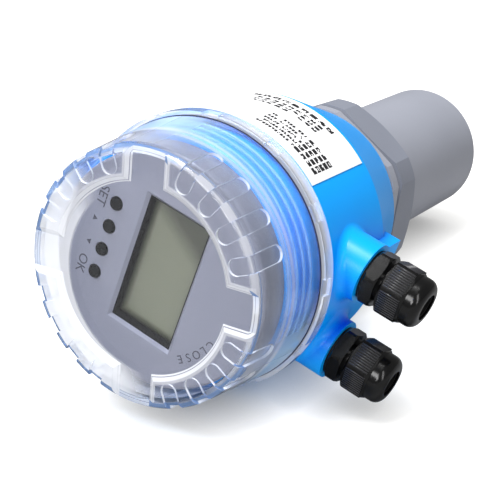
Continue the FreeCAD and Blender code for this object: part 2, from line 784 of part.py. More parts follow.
def make_keys():
    """Four push keys, each held under the bezel by its own collar, above a switch."""
    switches = []
    for index, label in enumerate(KEYS):
        key = new_body(label)
        revolve(key, [("0", "key_bottom"), ("key_radius", "key_bottom"),
                      ("key_radius", "key_collar_top - key_collar_height"),
                      ("key_collar_radius", "key_collar_top - key_collar_height"),
                      ("key_collar_radius", "key_collar_top"), ("key_radius", "key_collar_top"),
                      ("key_radius", "key_top - key_edge"), ("key_radius - key_edge", "key_top", "key_edge"),
                      ("0", "key_top")])
        place(key, key_place(index), "key_row")
        keep(key, label)
        case = block("switch_width", "switch_width", "switch_height", key_place(index), "key_row",
                     "board_top")
        plunger = cylinder("switch_plunger_radius", "switch_plunger_height + switch_height", key_place(index),
                           "key_row", "board_top")
        switches.append(fuse(case, plunger))
    group("key_switches", "key_switches", switches)


def make_main_board():
    """Board on the housing's ledge, with the terminals for the cables."""
    board = new_body("main_board")
    pad(board, circle(sketch_on(board, "XY_Plane", "ledge_top"), "main_board_radius"), "board_thickness")
    keep(board, "main_board")
    terminals = new_body("terminal_block")
    foot = rectangle(sketch_on(terminals, "XY_Plane", "main_board_top"), "terminal_length", "terminal_depth")
    pad(terminals, foot, "terminal_height")
    entries = sketch_on(terminals, "XZ_Plane", "-terminal_depth / 2")
    wells = sketch_on(terminals, "XY_Plane", "main_board_top + terminal_height")
    screws = []
    for index in range(int(value("terminal_count"))):
        x = f"({index} - (terminal_count - 1) / 2) * terminal_pitch"
        rectangle(entries, "terminal_entry", "terminal_entry", x, "main_board_top + terminal_entry_height")
        circle(wells, "terminal_screw_radius + fit_gap", x, "0")
        head = cylinder("terminal_screw_radius", "terminal_screw_height", x, "0",
                        "main_board_top + terminal_height - terminal_screw_depth")
        slot = block("2 * terminal_screw_radius", "terminal_screw_slot", "terminal_screw_slot", x, "0",
                     "main_board_top + terminal_height - terminal_screw_depth + terminal_screw_height"
                     " - terminal_screw_slot")
        screws.append(cut(head, slot))
    pocket(terminals, entries, "terminal_entry_depth", back=True)
    pocket(terminals, wells, "terminal_screw_depth")
    keep(terminals, "terminal_block")
    group("terminal_screws", "terminal_screws", screws)


def make_label():
    """White sticker wrapped on the drum."""
    label = new_body("label")
    inner = "drum_radius + fit_gap"
    outer = "drum_radius + fit_gap + label_thickness"
    revolve(label, [(inner, "label_base"), (outer, "label_base"), (outer, "label_top"), (inner, "label_top")],
            sweep="label_sweep")
    label.Placement.Rotation = FreeCAD.Rotation(UPRIGHT, value("label_start"))
    keep(label, "label")


def make_gland(side, label):
    """One cable gland, modelled upright about its own axis and then laid along +Y on its boss."""
    x = f"{side} * gland_spacing / 2"
    pieces = [make_gland_washer(label), make_gland_body(label), make_gland_seal(label), make_gland_nut(label)]
    for piece in pieces:
        piece.Placement.Rotation = FreeCAD.Rotation(FreeCAD.Vector(1, 0, 0), -90)
        place(piece, x, "boss_reach", "gland_height")


def make_gland_washer(label):
    return ring("gland_washer", f"gland_washer_{label}", "gland_thread_radius + fit_gap",
                "gland_washer_radius", "0", "gland_washer_thickness")


def make_gland_body(label):
    """Threaded shank, hexagon and outer tube with a socket for the seal."""
    body = new_body("gland_body")
    shank = "-gland_thread_length"
    socket = "gland_socket_base"
    revolve(body, [("0", shank), ("gland_thread_radius", shank), ("gland_thread_radius", "gland_hex_top"),
                   ("gland_tube_radius", "gland_hex_top"), ("gland_tube_radius", "gland_tube_top"),
                   ("0", "gland_tube_top")])
    hex_block(body, "gland_flats", "gland_turn", "gland_washer_thickness", "gland_hex_height",
              "gland_round_radius", "gland_hex_bevel", "gland_hex_bevel", "gland_face_radius")
    groove(body, [("0", shank), ("gland_bore_radius", shank), ("gland_bore_radius", socket),
                  ("gland_socket_radius", socket), ("gland_socket_radius", "gland_tube_top"),
                  ("0", "gland_tube_top")])
    return keep(body, f"gland_body_{label}")


def make_gland_seal(label):
    """Rubber insert with a lip in front of the tube and a nose in the nut's mouth."""
    seal = new_body("gland_seal")
    plug = "gland_socket_radius - seat_gap"
    plug_base = "gland_socket_base + seat_gap"
    nose = "gland_mouth_radius - seat_gap"
    revolve(seal, [("cable_radius", plug_base), (plug, plug_base), (plug, "seal_lip_base"),
                   ("seal_lip_radius", "seal_lip_base"), ("seal_lip_radius", "seal_lip_top"),
                   (nose, "seal_lip_top + seal_cone_height"), (nose, "seal_nose"),
                   ("cable_radius", "seal_nose")])
    return keep(seal, f"gland_seal_{label}")


def make_gland_nut(label):
    """Hexagonal nut with a domed end that squeezes the seal on the cable."""
    nut = new_body("gland_nut")
    tip = "gland_nut_tip"
    hex_block(nut, "gland_flats", "gland_turn", "gland_nut_base", "gland_nut_hex_height",
              "gland_round_radius", "gland_hex_bevel", "2 * gland_hex_bevel", "gland_flats / 2")
    revolve(nut, [("0", "gland_nut_shoulder"), ("gland_dome_radius", "gland_nut_shoulder"),
                  ("gland_dome_radius", f"{tip} - gland_dome_round"),
                  ("gland_dome_radius - gland_dome_round", tip, "gland_dome_round"), ("0", tip)])
    groove(nut, [("0", "gland_nut_base"), ("gland_nut_bore_radius", "gland_nut_base"),
                 ("gland_nut_bore_radius", "gland_nut_bore_top"),
                 ("gland_mouth_radius", f"{tip} - gland_mouth_length"), ("gland_mouth_radius", tip),
                 ("0", tip)])
    return keep(nut, f"gland_nut_{label}")


def check_and_write():
    """Makes sure that every object is sound, then writes one file for each sub-part."""
    doc.recompute()
    for item in doc.Objects:
        if "Invalid" in item.State or "Error" in item.State:
            raise RuntimeError(f"{item.Name} ({item.Label}) failed: {item.State}")
    for piece in parts:
        if piece.Shape.isNull() or not piece.Shape.isValid():
            raise RuntimeError(f"{piece.Label} has no valid shape")
    os.makedirs("parts", exist_ok=True)
    for piece in parts:
        piece.Shape.exportStep(f"parts/{piece.Label}.step")
        print(piece.Label, len(piece.Shape.Solids), round(piece.Shape.Volume, 1))


make_sensor_body()
make_sensor_inside()
make_sensor_fixing()
make_mounting()
make_housing()
make_cover()
make_cover_seal()
make_bezel()
make_display()
make_posts_and_screws()
make_keys()
make_main_board()
make_label()
make_gland(-1, "left")
make_gland(1, "right")
check_and_write()
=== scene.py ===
"""Dresses an ultrasonic water level indicator: clear cover, display, blue housing, glands and grey probe.

Lengths are millimetres in the part's own frame: +Z runs up the instrument from the probe's face, +Y is
the way the cable glands leave and +X the way the display reads.
"""
from __future__ import annotations

import logging
import math
from dataclasses import dataclass, fields
from enum import Enum
from functools import cache, reduce

import bmesh
import bpy
from mathutils import Matrix, Vector


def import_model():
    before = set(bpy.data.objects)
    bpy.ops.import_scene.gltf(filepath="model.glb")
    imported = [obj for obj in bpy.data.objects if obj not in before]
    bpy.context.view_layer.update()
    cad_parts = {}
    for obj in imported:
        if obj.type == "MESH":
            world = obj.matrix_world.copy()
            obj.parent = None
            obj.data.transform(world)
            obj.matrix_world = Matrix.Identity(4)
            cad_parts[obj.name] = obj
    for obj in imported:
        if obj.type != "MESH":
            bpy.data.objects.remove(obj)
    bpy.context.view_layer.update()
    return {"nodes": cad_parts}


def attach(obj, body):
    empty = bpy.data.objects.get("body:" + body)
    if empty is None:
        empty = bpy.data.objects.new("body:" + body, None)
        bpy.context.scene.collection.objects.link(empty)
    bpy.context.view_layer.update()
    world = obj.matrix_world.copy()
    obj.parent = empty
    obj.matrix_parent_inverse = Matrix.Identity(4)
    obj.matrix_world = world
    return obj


MM = 0.001
LOG = logging.getLogger("water_level_indicator")

# How finely round shapes are drawn, in steps or sides.
TURN_STEPS = 96
RIDGE_SIDES = 10
BEAD_SIDES = 6
LETTER_STEPS = 4
# How far the seed of the signs' strokes lies past the seed of the signs themselves.
STROKE_SEED_STEP = 17.0

Tree = bpy.types.NodeTree
Node = bpy.types.Node
Socket = bpy.types.NodeSocket
Mesh = bpy.types.Mesh
Material = bpy.types.Material
Nodes = dict[str, bpy.types.Object]
Key = int | str
Rgba = tuple[float, float, float, float]
Triple = tuple[float, float, float]
Ramp = tuple[float, float]
Band = tuple[float, float, float, float]


class Body(Enum):
    """The moving bodies that pieces ride on."""

    METER = "meter"
    COVER = "cover"
    NUT_LEFT = "gland_nut_left"
    NUT_RIGHT = "gland_nut_right"


class Side(Enum):
    """The two cable glands, by the sign of their X."""

    LEFT = -1
    RIGHT = 1


def linear(code: str) -> Rgba:
    """Turns an sRGB hex colour to linear light.

    Args:
        code: six hex digits, such as "1e90ff".

    Returns:
        Red, green, blue and a full alpha.
    """
    channels = [int(code[start:start + 2], 16) / 255 for start in (0, 2, 4)]
    red, green, blue = [c / 12.92 if c <= 0.04045 else ((c + 0.055) / 1.055) ** 2.4 for c in channels]
    return red, green, blue, 1.0


def add_node(tree: Tree, kind: str, settings: dict[Key, object] | None = None,
             links: dict[Key, Socket | Field | Node] | None = None) -> Node:
    """Adds one node with its settings and links.

    Args:
        tree: the tree that takes the node.
        kind: the node's type name.
        settings: values by input name or number, or by the name of a lower-case property of the node.
        links: what to join by input name or number: a socket, a number or a node's first output.

    Returns:
        The node.
    """
    node = tree.nodes.new(kind)
    for name, value in (settings or {}).items():
        if isinstance(name, str) and name.islower():
            setattr(node, name, value)
        else:
            node.inputs[name].default_value = value
    for name, source in (links or {}).items():
        if isinstance(source, Field):
            source = source.socket
        elif isinstance(source, Node):
            source = source.outputs[0]
        tree.links.new(source, node.inputs[name])
    return node


@dataclass(frozen=True)
class Field:
    """A number in a node tree, so that sums of lengths and masks read as sums."""

    tree: Tree
    socket: Socket

    def worked(self, operation: str, other: Field | float = 0.0, flipped: bool = False) -> Field:
        """Does one sum with another number.

        Args:
            operation: the kind of sum.
            other: the other number, from the tree or plain.
            flipped: whether the other number comes first.

        Returns:
            The result.
        """
        own, others = (1, 0) if flipped else (0, 1)
        settings, links = {"operation": operation}, {own: self}
        if isinstance(other, Field):
            links[others] = other
        else:
            settings[others] = other
        return Field(self.tree, add_node(self.tree, "ShaderNodeMath", settings, links).outputs[0])

    def __add__(self, other: Field | float) -> Field:
        """Adds another number."""
        return self.worked("ADD", other)

    def __sub__(self, other: Field | float) -> Field:
        """Takes another number away."""
        return self.worked("SUBTRACT", other)

    def __rsub__(self, other: float) -> Field:
        """Takes this number away from a plain one."""
        return self.worked("SUBTRACT", other, True)

    def __mul__(self, other: Field | float) -> Field:
        """Multiplies by another number."""
        return self.worked("MULTIPLY", other)

    def __truediv__(self, other: Field | float) -> Field:
        """Divides by another number."""
        return self.worked("DIVIDE", other)

    def at_least(self, other: Field | float) -> Field:
        """Gives the larger of two numbers."""
        return self.worked("MAXIMUM", other)

    def at_most(self, other: Field | float) -> Field:
        """Gives the smaller of two numbers."""
        return self.worked("MINIMUM", other)

    def fade(self, none: float, full: float) -> Field:
        """Fades from 0 at one value to 1 at another.

        Args:
            none: where the result is 0.
            full: where the result is 1.

        Returns:
            The faded mask.
        """
        rising = none < full
        low, high = sorted((none, full))
        ends = {"From Min": low, "From Max": high, "To Min": float(not rising), "To Max": float(rising)}
        ramp = add_node(self.tree, "ShaderNodeMapRange", ends, {"Value": self})
        return Field(self.tree, ramp.outputs[0])

    def band(self, start: float, full: float, full_to: float, end: float) -> Field:
        """Rises from 0 at the start to 1, stays at 1 between the two full places and is 0 again at the end."""
        return self.fade(start, full) * self.fade(end, full_to)


@dataclass(frozen=True)
class Finish:
    """A named finish, of which each kind shades its surface in its own way."""

    name: str

    def material(self) -> Material:
        """Builds the node material.

        Returns:
            The material.
        """
        material = bpy.data.materials.new(self.name)
        material.use_nodes = True
        tree = material.node_tree
        tree.nodes.clear()
        add_node(tree, "ShaderNodeOutputMaterial", {}, {"Surface": self.surface(tree)})
        return material

    def surface(self, tree: Tree) -> Node:
        """Shades the surface in a material's tree and gives the shader, as each kind of finish does."""
        raise NotImplementedError(self.name)


@dataclass(frozen=True)
class MouldedPlastic(Finish):
    """An injection-moulded plastic: slow drift of colour, a fine spark-eroded grain and an even sheen.

    The real grain is too fine to show, so it is drawn coarser. The painted shade is a darker colour that is
    mixed in where ambient occlusion finds a corner, below a given height: shade painted into the colour.
    """

    colour: str
    drift: str
    roughness: float
    ior: float
    grain_mm: float
    grain_depth_mm: float
    specular: float = 0.5
    cloud_mm: float = 24.0
    cloud_detail: float = 3.0
    grain_detail: float = 2.0
    grain_strength: float = 0.35
    sheen_spread: float = 0.05
    painted_shade: str = ""
    painted_shade_mm: float = 22.0
    painted_shade_open: Ramp = (0.46, 0.9)
    painted_shade_heights: Ramp = (165.0, 166.0)
    painted_shade_samples: int = 8

    def surface(self, tree: Tree) -> Node:
        """Shades the plastic.

        Args:
            tree: the material's tree.

        Returns:
            The shader.
        """
        place = add_node(tree, "ShaderNodeTexCoord").outputs["Object"]
        cloud = add_node(tree, "ShaderNodeTexNoise",
                         {"Scale": 1 / (self.cloud_mm * MM), "Detail": self.cloud_detail}, {"Vector": place})
        tint = add_node(tree, "ShaderNodeMix",
                        {"data_type": "RGBA", 6: linear(self.colour), 7: linear(self.drift)},
                        {0: cloud.outputs["Fac"]})
        colour = self.with_painted_shade(tree, place, tint.outputs[2]) if self.painted_shade else tint.outputs[2]
        grain = add_node(tree, "ShaderNodeTexNoise",
                         {"Scale": 1 / (self.grain_mm * MM), "Detail": self.grain_detail},
                         {"Vector": place}).outputs["Fac"]
        sheen = Field(tree, grain) * (2 * self.sheen_spread) + (self.roughness - self.sheen_spread)
        bump = add_node(tree, "ShaderNodeBump",
                        {"Strength": self.grain_strength, "Distance": self.grain_depth_mm * MM},
                        {"Height": grain})
        shader = add_node(tree, "ShaderNodeBsdfPrincipled",
                          {"IOR": self.ior, "Specular IOR Level": self.specular},
                          {"Base Color": colour, "Roughness": sheen, "Normal": bump})
        return shader

    def with_painted_shade(self, tree: Tree, place: Socket, colour: Socket) -> Socket:
        """Paints shade into the colour in corners, below the height where the clear cap takes over.

        Args:
            tree: the material's tree.
            place: the object coordinates.
            colour: the colour in the open.

        Returns:
            The colour everywhere.
        """
        # Painted shade: where ambient occlusion finds a corner, the colour turns darker.
        corner = add_node(tree, "ShaderNodeAmbientOcclusion",
                          {"samples": self.painted_shade_samples, "only_local": True, "Distance": self.painted_shade_mm * MM})
        height = Field(tree, add_node(tree, "ShaderNodeSeparateXYZ", {}, {0: place}).outputs["Z"]) * (1 / MM)
        open_way = Field(tree, corner.outputs["AO"]).fade(*self.painted_shade_open)
        mix = add_node(tree, "ShaderNodeMix", {"data_type": "RGBA", 6: linear(self.painted_shade)},
                       {0: open_way.at_least(height.fade(*self.painted_shade_heights)), 7: colour})
        return mix.outputs[2]


@dataclass(frozen=True)
class Spot:
    """Where a point of the cap lies, in millimetres.

    Beyond and above say how far it lies past the start of the rounded edge, depth how far under the outside,
    and the side measure how far it lies towards the side where the face is made milky as painted light; taken
    the other way, it places painted shade over the cup. Crescent is a radius about a centre off the axis,
    which gives that painted milky place its edge.
    """

    radius: Field
    height: Field
    from_channel: Field
    beyond: Field
    above: Field
    depth: Field
    gate: Field
    crescent: Field


@dataclass(frozen=True)
class CapZones:
    """The zones of the clear cap that look different, as ramps and bands over its places.

    Heights, radii and depths are millimetres. A ramp says where its zone has ended and where it is full, a
    band where its zone starts, is full, is full to and ends. Facing runs from 0, towards the eye, to 1,
    edge on.
    """

    face: float = 204.5
    edge_radius: float = 41.8
    edge_round: float = 3.0
    lean: float = 0.0852
    channel_turn: float = 16.0
    bright_side_way: Triple = (0.6, -0.8, 0.0)
    crescent_shift: Triple = (0.3, -2.7, 0.0)
    wall_depths: Band = (0.04, 0.1, 1.4, 1.46)
    wall_heights: Ramp = (180.5, 181.5)
    grip_floor: Band = (0.9, 0.93, 1.07, 1.1)
    land_radii: Ramp = (33.2, 33.1)
    land_channel: Ramp = (8.5, 8.4)
    land_depths: Ramp = (0.3, 0.2)
    land_above: Ramp = (2.0, 2.1)
    edge_turn: Ramp = (0.5, 1.3)
    rim_beyond: Ramp = (0.1, 0.4)
    rim_above: Ramp = (0.1, 0.5)
    rim_facing: Ramp = (0.2, 0.36)
    flange_heights: Ramp = (171.4, 171.0)
    flange_radii: Ramp = (44.2, 44.5)
    flange_rim: Ramp = (45.6, 45.9)
    flange_facing: Ramp = (0.6, 0.8)
    foot_heights: Band = (170.8, 171.0, 171.4, 171.8)
    foot_radii: Band = (43.8, 44.1, 44.5, 44.7)
    skirt_heights: Ramp = (200.6, 199.6)
    glance_heights: Band = (171.0, 172.0, 199.6, 200.6)
    glance_facing: Ramp = (0.5, 0.8)
    neck_heights: Band = (171.4, 173.0, 185.6, 187.6)
    crest_heights: Band = (183.6, 185.4, 186.2, 187.8)
    veil_heights: Band = (187.6, 194.6, 197.8, 200.8)
    veil_side: Ramp = (6.0, -6.0)
    bright_side_reach: Ramp = (8.0, 18.0)
    bright_side_radii: Ramp = (29.6, 30.6)
    bright_side_above: Ramp = (0.5, 1.0)

    def spot(self, tree: Tree, place: Socket) -> Spot:
        """Measures where a point of the cap lies.

        Args:
            tree: the material's tree.
            place: the object coordinates.

        Returns:
            The measures.
        """
        sums = "ShaderNodeVectorMath"
        scale = (1 / MM, 1 / MM, 0.0)
        flat = add_node(tree, sums, {"operation": "MULTIPLY", 1: scale}, {0: place}).outputs[0]
        moved = add_node(tree, sums, {"operation": "ADD", 1: self.crescent_shift}, {0: flat}).outputs[0]
        lengths = [add_node(tree, sums, {"operation": "LENGTH"}, {0: flat}),
                   add_node(tree, sums, {"operation": "LENGTH"}, {0: moved}),
                   add_node(tree, sums, {"operation": "DOT_PRODUCT", 1: self.bright_side_way}, {0: flat})]
        radius, crescent, gate = (Field(tree, length.outputs["Value"]) for length in lengths)
        height = Field(tree, add_node(tree, "ShaderNodeSeparateXYZ", {}, {0: place}).outputs["Z"]) * (1 / MM)
        turn = (0.0, 0.0, -math.radians(self.channel_turn))
        turned = add_node(tree, "ShaderNodeMapping", {"Rotation": turn}, {"Vector": flat})
        cross = add_node(tree, "ShaderNodeSeparateXYZ", {}, {0: turned})
        along, across = (Field(tree, cross.outputs[axis]).worked("ABSOLUTE") for axis in "XY")
        rise = height - (self.face - self.edge_round)
        fall = (rise * -self.lean).at_least(0.0)
        beyond = (radius - (self.edge_radius - self.edge_round) - fall).at_least(0.0)
        above = rise.at_least(0.0)
        reach = (beyond * beyond + above * above).worked("SQRT")
        depth = self.edge_round - reach
        return Spot(radius, height, along.at_most(across), beyond, above, depth, gate, crescent)

    def masks(self, spot: Spot, facing: Field) -> dict[str, Field]:
        """Marks each zone, from 0 to 1.

        Args:
            spot: where the point lies.
            facing: how far the surface turns away from the eye.

        Returns:
            The masks by the names that the haze uses.
        """
        flange = spot.height.fade(*self.flange_heights)
        rim = spot.beyond.fade(*self.rim_beyond) * spot.above.fade(*self.rim_above)
        rim = rim * facing.fade(*self.rim_facing)
        rim = rim.at_least(flange * spot.radius.fade(*self.flange_rim) * facing.fade(*self.flange_facing))
        inside_rim = 1.0 - rim
        wall = spot.depth.band(*self.wall_depths) * (1.0 - spot.depth.band(*self.grip_floor))
        beside = spot.radius.fade(*self.land_radii).at_least(spot.from_channel.fade(*self.land_channel))
        # Painted light: milk on the land on one side; the veil's painted shade lies on the other side.
        gate = spot.gate.fade(*self.bright_side_reach) * spot.crescent.fade(*self.bright_side_radii)
        return {
            "wall": wall * spot.height.fade(*self.wall_heights),
            "land": beside * spot.depth.fade(*self.land_depths) * spot.above.fade(*self.land_above),
            "edge": spot.beyond.fade(*self.edge_turn) * spot.above.fade(*self.edge_turn) * inside_rim,
            "flange": flange * spot.radius.fade(*self.flange_radii),
            "veil": spot.height.band(*self.veil_heights) * spot.gate.fade(*self.veil_side),
            "neck": spot.height.band(*self.neck_heights),
            "crest": spot.height.band(*self.crest_heights),
            "skirt": spot.height.fade(*self.skirt_heights),
            "glance": spot.height.band(*self.glance_heights) * facing.fade(*self.glance_facing),
            "gate": gate * spot.above.fade(*self.bright_side_above) * inside_rim,
            "rim": rim,
            "foot": spot.height.band(*self.foot_heights) * spot.radius.band(*self.foot_radii),
        }


@dataclass(frozen=True)
class Haze:
    """How milky each zone of a clear moulding is, from 0, clear, to 1, opaque.

    Wall is the side of a grip or channel, land the raised face, edge the rounded edge and rim the edge where
    it turns away from the eye. Skirt is the whole side, glance its places that turn away, and neck, crest and
    veil its bands over the neck, the neck's top and the display cup. Foot is the corner above the flange. The
    bright side is the land on one side of the face. Some of the milk is painted light: painted highlight on
    the walls, the edge and the crest, painted shade on the veil and the glance, a painted reflection on the
    rim and painted light on the bright side.
    """

    wall: float
    land: float
    edge: float
    flange: float
    veil: float
    neck: float
    crest: float
    skirt: float
    glance: float
    gate: float
    rim: float
    foot: float

    @classmethod
    def even(cls, share: float) -> Haze:
        """Gives the same haze in every zone."""
        return cls(*[share] * len(fields(cls)))


@dataclass(frozen=True)
class ClearPlastic(Finish):
    """Clear polycarbonate, moulded: see-through on its polished flats, and milky where it scatters light.

    The shell is thin, so it bends light less than a solid block would, and its gloss comes from the coat.
    Where the rounded edge turns away from the eye, it takes the housing's blue as a painted reflection. Grey
    painted shade lies where the side turns away and over the cup on one side, a pale blue painted light over
    the neck stands for the blue neck behind it, a pale painted highlight lies over the neck's top, and a dark
    line runs in the corner above the flange.
    """

    haze: Haze
    zones: CapZones = CapZones()
    colour: str = "f1f3f8"
    # Tints: painted reflection on the rim, painted shade on glance and veil, painted light on the neck and
    # crest.
    tints: tuple[tuple[str, str], ...] = (("glance", "9ea2b0"), ("veil", "c2c6d0"), ("neck", "bcdcf8"),
                                          ("crest", "e6ebf4"), ("foot", "323c5a"), ("rim", "7896c4"))
    through: str = "e4e8ee"
    ior: float = 1.16
    roughness: Ramp = (0.03, 0.4)
    coat: float = 0.5
    coat_ior: float = 1.5
    coat_roughness: float = 0.04
    flow_mm: float = 14.0
    flow_detail: float = 1.0
    flow_depth_mm: float = 0.2
    flow_strength: float = 0.1

    def surface(self, tree: Tree) -> Node:
        """Shades the clear plastic.

        Args:
            tree: the material's tree.

        Returns:
            The shader.
        """
        place = add_node(tree, "ShaderNodeTexCoord").outputs["Object"]
        facing = Field(tree, add_node(tree, "ShaderNodeLayerWeight").outputs["Facing"])
        # The masks carry painted highlight, shade and reflection, partly by how the surface faces the eye.
        masks = self.zones.masks(self.zones.spot(tree, place), facing)
        shares = [masks[zone.name] * getattr(self.haze, zone.name) for zone in fields(Haze)]
        milk = reduce(Field.at_least, shares)
        flow = add_node(tree, "ShaderNodeTexNoise",
                        {"Scale": 1 / (self.flow_mm * MM), "Detail": self.flow_detail}, {"Vector": place})
        bump = add_node(tree, "ShaderNodeBump",
                        {"Strength": self.flow_strength, "Distance": self.flow_depth_mm * MM},
                        {"Height": flow.outputs["Fac"]})
        clear, milky = self.roughness
        shell = add_node(tree, "ShaderNodeBsdfPrincipled",
                         {"IOR": self.ior, "Coat Weight": self.coat, "Coat Roughness": self.coat_roughness,
                          "Coat IOR": self.coat_ior},
                         {"Base Color": self.tinted(tree, masks), "Normal": bump,
                          "Transmission Weight": 1.0 - milk, "Roughness": milk * (milky - clear) + clear})
        lamp_way = add_node(tree, "ShaderNodeBsdfTransparent", {"Color": linear(self.through)})
        path = add_node(tree, "ShaderNodeLightPath")
        shader = add_node(tree, "ShaderNodeMixShader", {},
                          {0: path.outputs["Is Shadow Ray"], 1: shell, 2: lamp_way})
        return shader

    def tinted(self, tree: Tree, masks: dict[str, Field]) -> Socket:
        """Lays the zones' colours over each other.

        Args:
            tree: the material's tree.
            masks: the zones.

        Returns:
            The colour.
        """
        under = {}
        for zone, code in self.tints:
            shades = {"data_type": "RGBA", 6: linear(self.colour), 7: linear(code)}
            under = {6: add_node(tree, "ShaderNodeMix", shades, {0: masks[zone], **under}).outputs[2]}
        return under[6]


@dataclass(frozen=True)
class DisplayGlass(Finish):
    """A reflective liquid crystal panel: grey-green, with faint segment cells under a smooth glass front.

    Painted shadow darkens one corner and runs as a dark line along the two sides under the window's edge.
    """

    colour: str
    cell: str
    cell_mm: float
    line: float = 0.012
    line_soft: float = 0.6
    cell_wide: float = 0.6
    corner_shadow: str = "9d9d94"
    corner_shadow_way: Ramp = (0.85, 0.5)
    corner_shadow_reach: Ramp = (9.0, 15.0)
    wall_shadow: str = "40403c"
    wall_shadow_end: float = 22.0
    wall_shadow_side: float = 10.5
    wall_shadow_reach: Ramp = (3.2, 0.4)
    roughness: float = 0.5
    ior: float = 1.5
    coat: float = 0.6
    coat_roughness: float = 0.05

    def surface(self, tree: Tree) -> Node:
        """Shades the panel.

        Args:
            tree: the material's tree.

        Returns:
            The shader.
        """
        place = add_node(tree, "ShaderNodeTexCoord").outputs["Object"]
        cells = add_node(tree, "ShaderNodeTexBrick",
                         {"offset": 0.0, "Color1": linear(self.colour), "Color2": linear(self.colour),
                          "Mortar": linear(self.cell), "Mortar Size": self.line,
                          "Mortar Smooth": self.line_soft, "Scale": 1 / (self.cell_mm * MM),
                          "Brick Width": self.cell_wide, "Row Height": 1.0},
                         {"Vector": place})
        axes = add_node(tree, "ShaderNodeSeparateXYZ", {}, {0: place})
        x, y = (Field(tree, axes.outputs[axis]) * (1 / MM) for axis in "XY")
        # Painted shadow: the cup's shadow over one corner, and a dark line along the two walls.
        corner = y * self.corner_shadow_way[1] - x * self.corner_shadow_way[0]
        corner_shadowed = add_node(tree, "ShaderNodeMix",
                         {"data_type": "RGBA", "blend_type": "MULTIPLY", 7: linear(self.corner_shadow)},
                         {0: corner.fade(*self.corner_shadow_reach), 6: cells.outputs["Color"]})
        wall_shadow = (self.wall_shadow_end - x).at_most(y + self.wall_shadow_side)
        shaded = add_node(tree, "ShaderNodeMix",
                          {"data_type": "RGBA", "blend_type": "MULTIPLY", 7: linear(self.wall_shadow)},
                          {0: wall_shadow.fade(*self.wall_shadow_reach), 6: corner_shadowed.outputs[2]})
        shader = add_node(tree, "ShaderNodeBsdfPrincipled",
                          {"Roughness": self.roughness, "IOR": self.ior, "Coat Weight": self.coat,
                           "Coat Roughness": self.coat_roughness}, {"Base Color": shaded.outputs[2]})
        return shader


@dataclass(frozen=True)
class PlainMetal(Finish):
    """A turned or plated metal with tool marks round its axis, drawn coarser than real so that they show."""

    colour: str
    roughness: float
    mark_mm: float
    mark_drift: float = 2.0
    sheen_spread: float = 0.06

    def surface(self, tree: Tree) -> Node:
        """Shades the metal.

        Args:
            tree: the material's tree.

        Returns:
            The shader.
        """
        place = add_node(tree, "ShaderNodeTexCoord").outputs["Object"]
        marks = add_node(tree, "ShaderNodeTexWave",
                         {"bands_direction": "Z", "Scale": 1 / (self.mark_mm * MM),
                          "Distortion": self.mark_drift}, {"Vector": place}).outputs["Fac"]
        sheen = Field(tree, marks) * (2 * self.sheen_spread) + (self.roughness - self.sheen_spread)
        shader = add_node(tree, "ShaderNodeBsdfPrincipled",
                          {"Base Color": linear(self.colour), "Metallic": 1.0}, {"Roughness": sheen})
        return shader


@dataclass(frozen=True)
class FloorPaper(Finish):
    """White paper that keeps the shadow and glows white, and can be looked through from below.

    Contact shadow is how far from the instrument ambient occlusion holds the glow back: a painted shadow
    round the places where it touches. Seen and bounce are the shares of the glow that the eye and diffuse
    light get.
    """

    colour: str = "a8a7a5"
    reflected: str = "808080"
    glow: str = "fffffe"
    contact_shadow_mm: float = 16.0
    seen: float = 0.92
    bounce: float = 0.42

    def surface(self, tree: Tree) -> Node:
        """Shades the paper.

        Args:
            tree: the material's tree.

        Returns:
            The shader.
        """
        path = add_node(tree, "ShaderNodeLightPath")
        camera, glossy, through, diffuse = (Field(tree, path.outputs[f"Is {kind} Ray"])
                                            for kind in ("Camera", "Glossy", "Transmission", "Diffuse"))
        seen = camera.at_least(through)
        shades = {"data_type": "RGBA", 6: linear(self.colour), 7: linear(self.reflected)}
        shade = add_node(tree, "ShaderNodeMix", shades, {0: glossy})
        paper = add_node(tree, "ShaderNodeBsdfDiffuse", {}, {"Color": shade.outputs[2]})
        # Painted contact shadow: the glow fades near the instrument, where ambient occlusion finds it.
        contact_shadow = add_node(tree, "ShaderNodeAmbientOcclusion", {"Distance": self.contact_shadow_mm * MM})
        open_sky = Field(tree, contact_shadow.outputs["AO"]) * seen * self.seen + diffuse * self.bounce
        glow = add_node(tree, "ShaderNodeEmission", {"Color": linear(self.glow)}, {"Strength": open_sky})
        lit = add_node(tree, "ShaderNodeAddShader", {}, {0: paper, 1: glow})
        below = Field(tree, add_node(tree, "ShaderNodeNewGeometry").outputs["Backfacing"])
        clear = add_node(tree, "ShaderNodeBsdfTransparent")
        see_through = below * seen.at_least(glossy)
        return add_node(tree, "ShaderNodeMixShader", {}, {0: see_through, 1: lit, 2: clear})


# Bright sky blue with a soft gloss, and painted shade that turns it a stronger blue where walls meet.
BLUE_ABS = MouldedPlastic("blue_abs_moulded", "009efa", "00a6ff", 0.3, 1.54, 0.5, 0.012, 0.26, painted_shade="0034e6")
# Cool mid grey and half matt, a waxy plastic that spreads its highlights.
GREY_PP = MouldedPlastic("grey_polypropylene_moulded", "9396a1", "9b9ea9", 0.42, 1.49, 0.6, 0.02, 0.35)
# A darker copy of the same grey for the nut: painted shade.
GREY_NUT_PAINTED_SHADE = MouldedPlastic("grey_polypropylene_nut", "7c808c", "838793", 0.42, 1.49, 0.6, 0.02, 0.35)
# Even grey with a slight shine, the plain ground that the print and the display stand out from.
GREY_BEZEL = MouldedPlastic("grey_abs_bezel", "80808a", "878792", 0.3, 1.54, 0.4, 0.012, 0.6)
# Deep black and shiny, so that the domes carry small sharp highlights.
BLACK_NYLON = MouldedPlastic("black_nylon_moulded", "060607", "0a0a0b", 0.17, 1.53, 0.5, 0.012, 0.5)
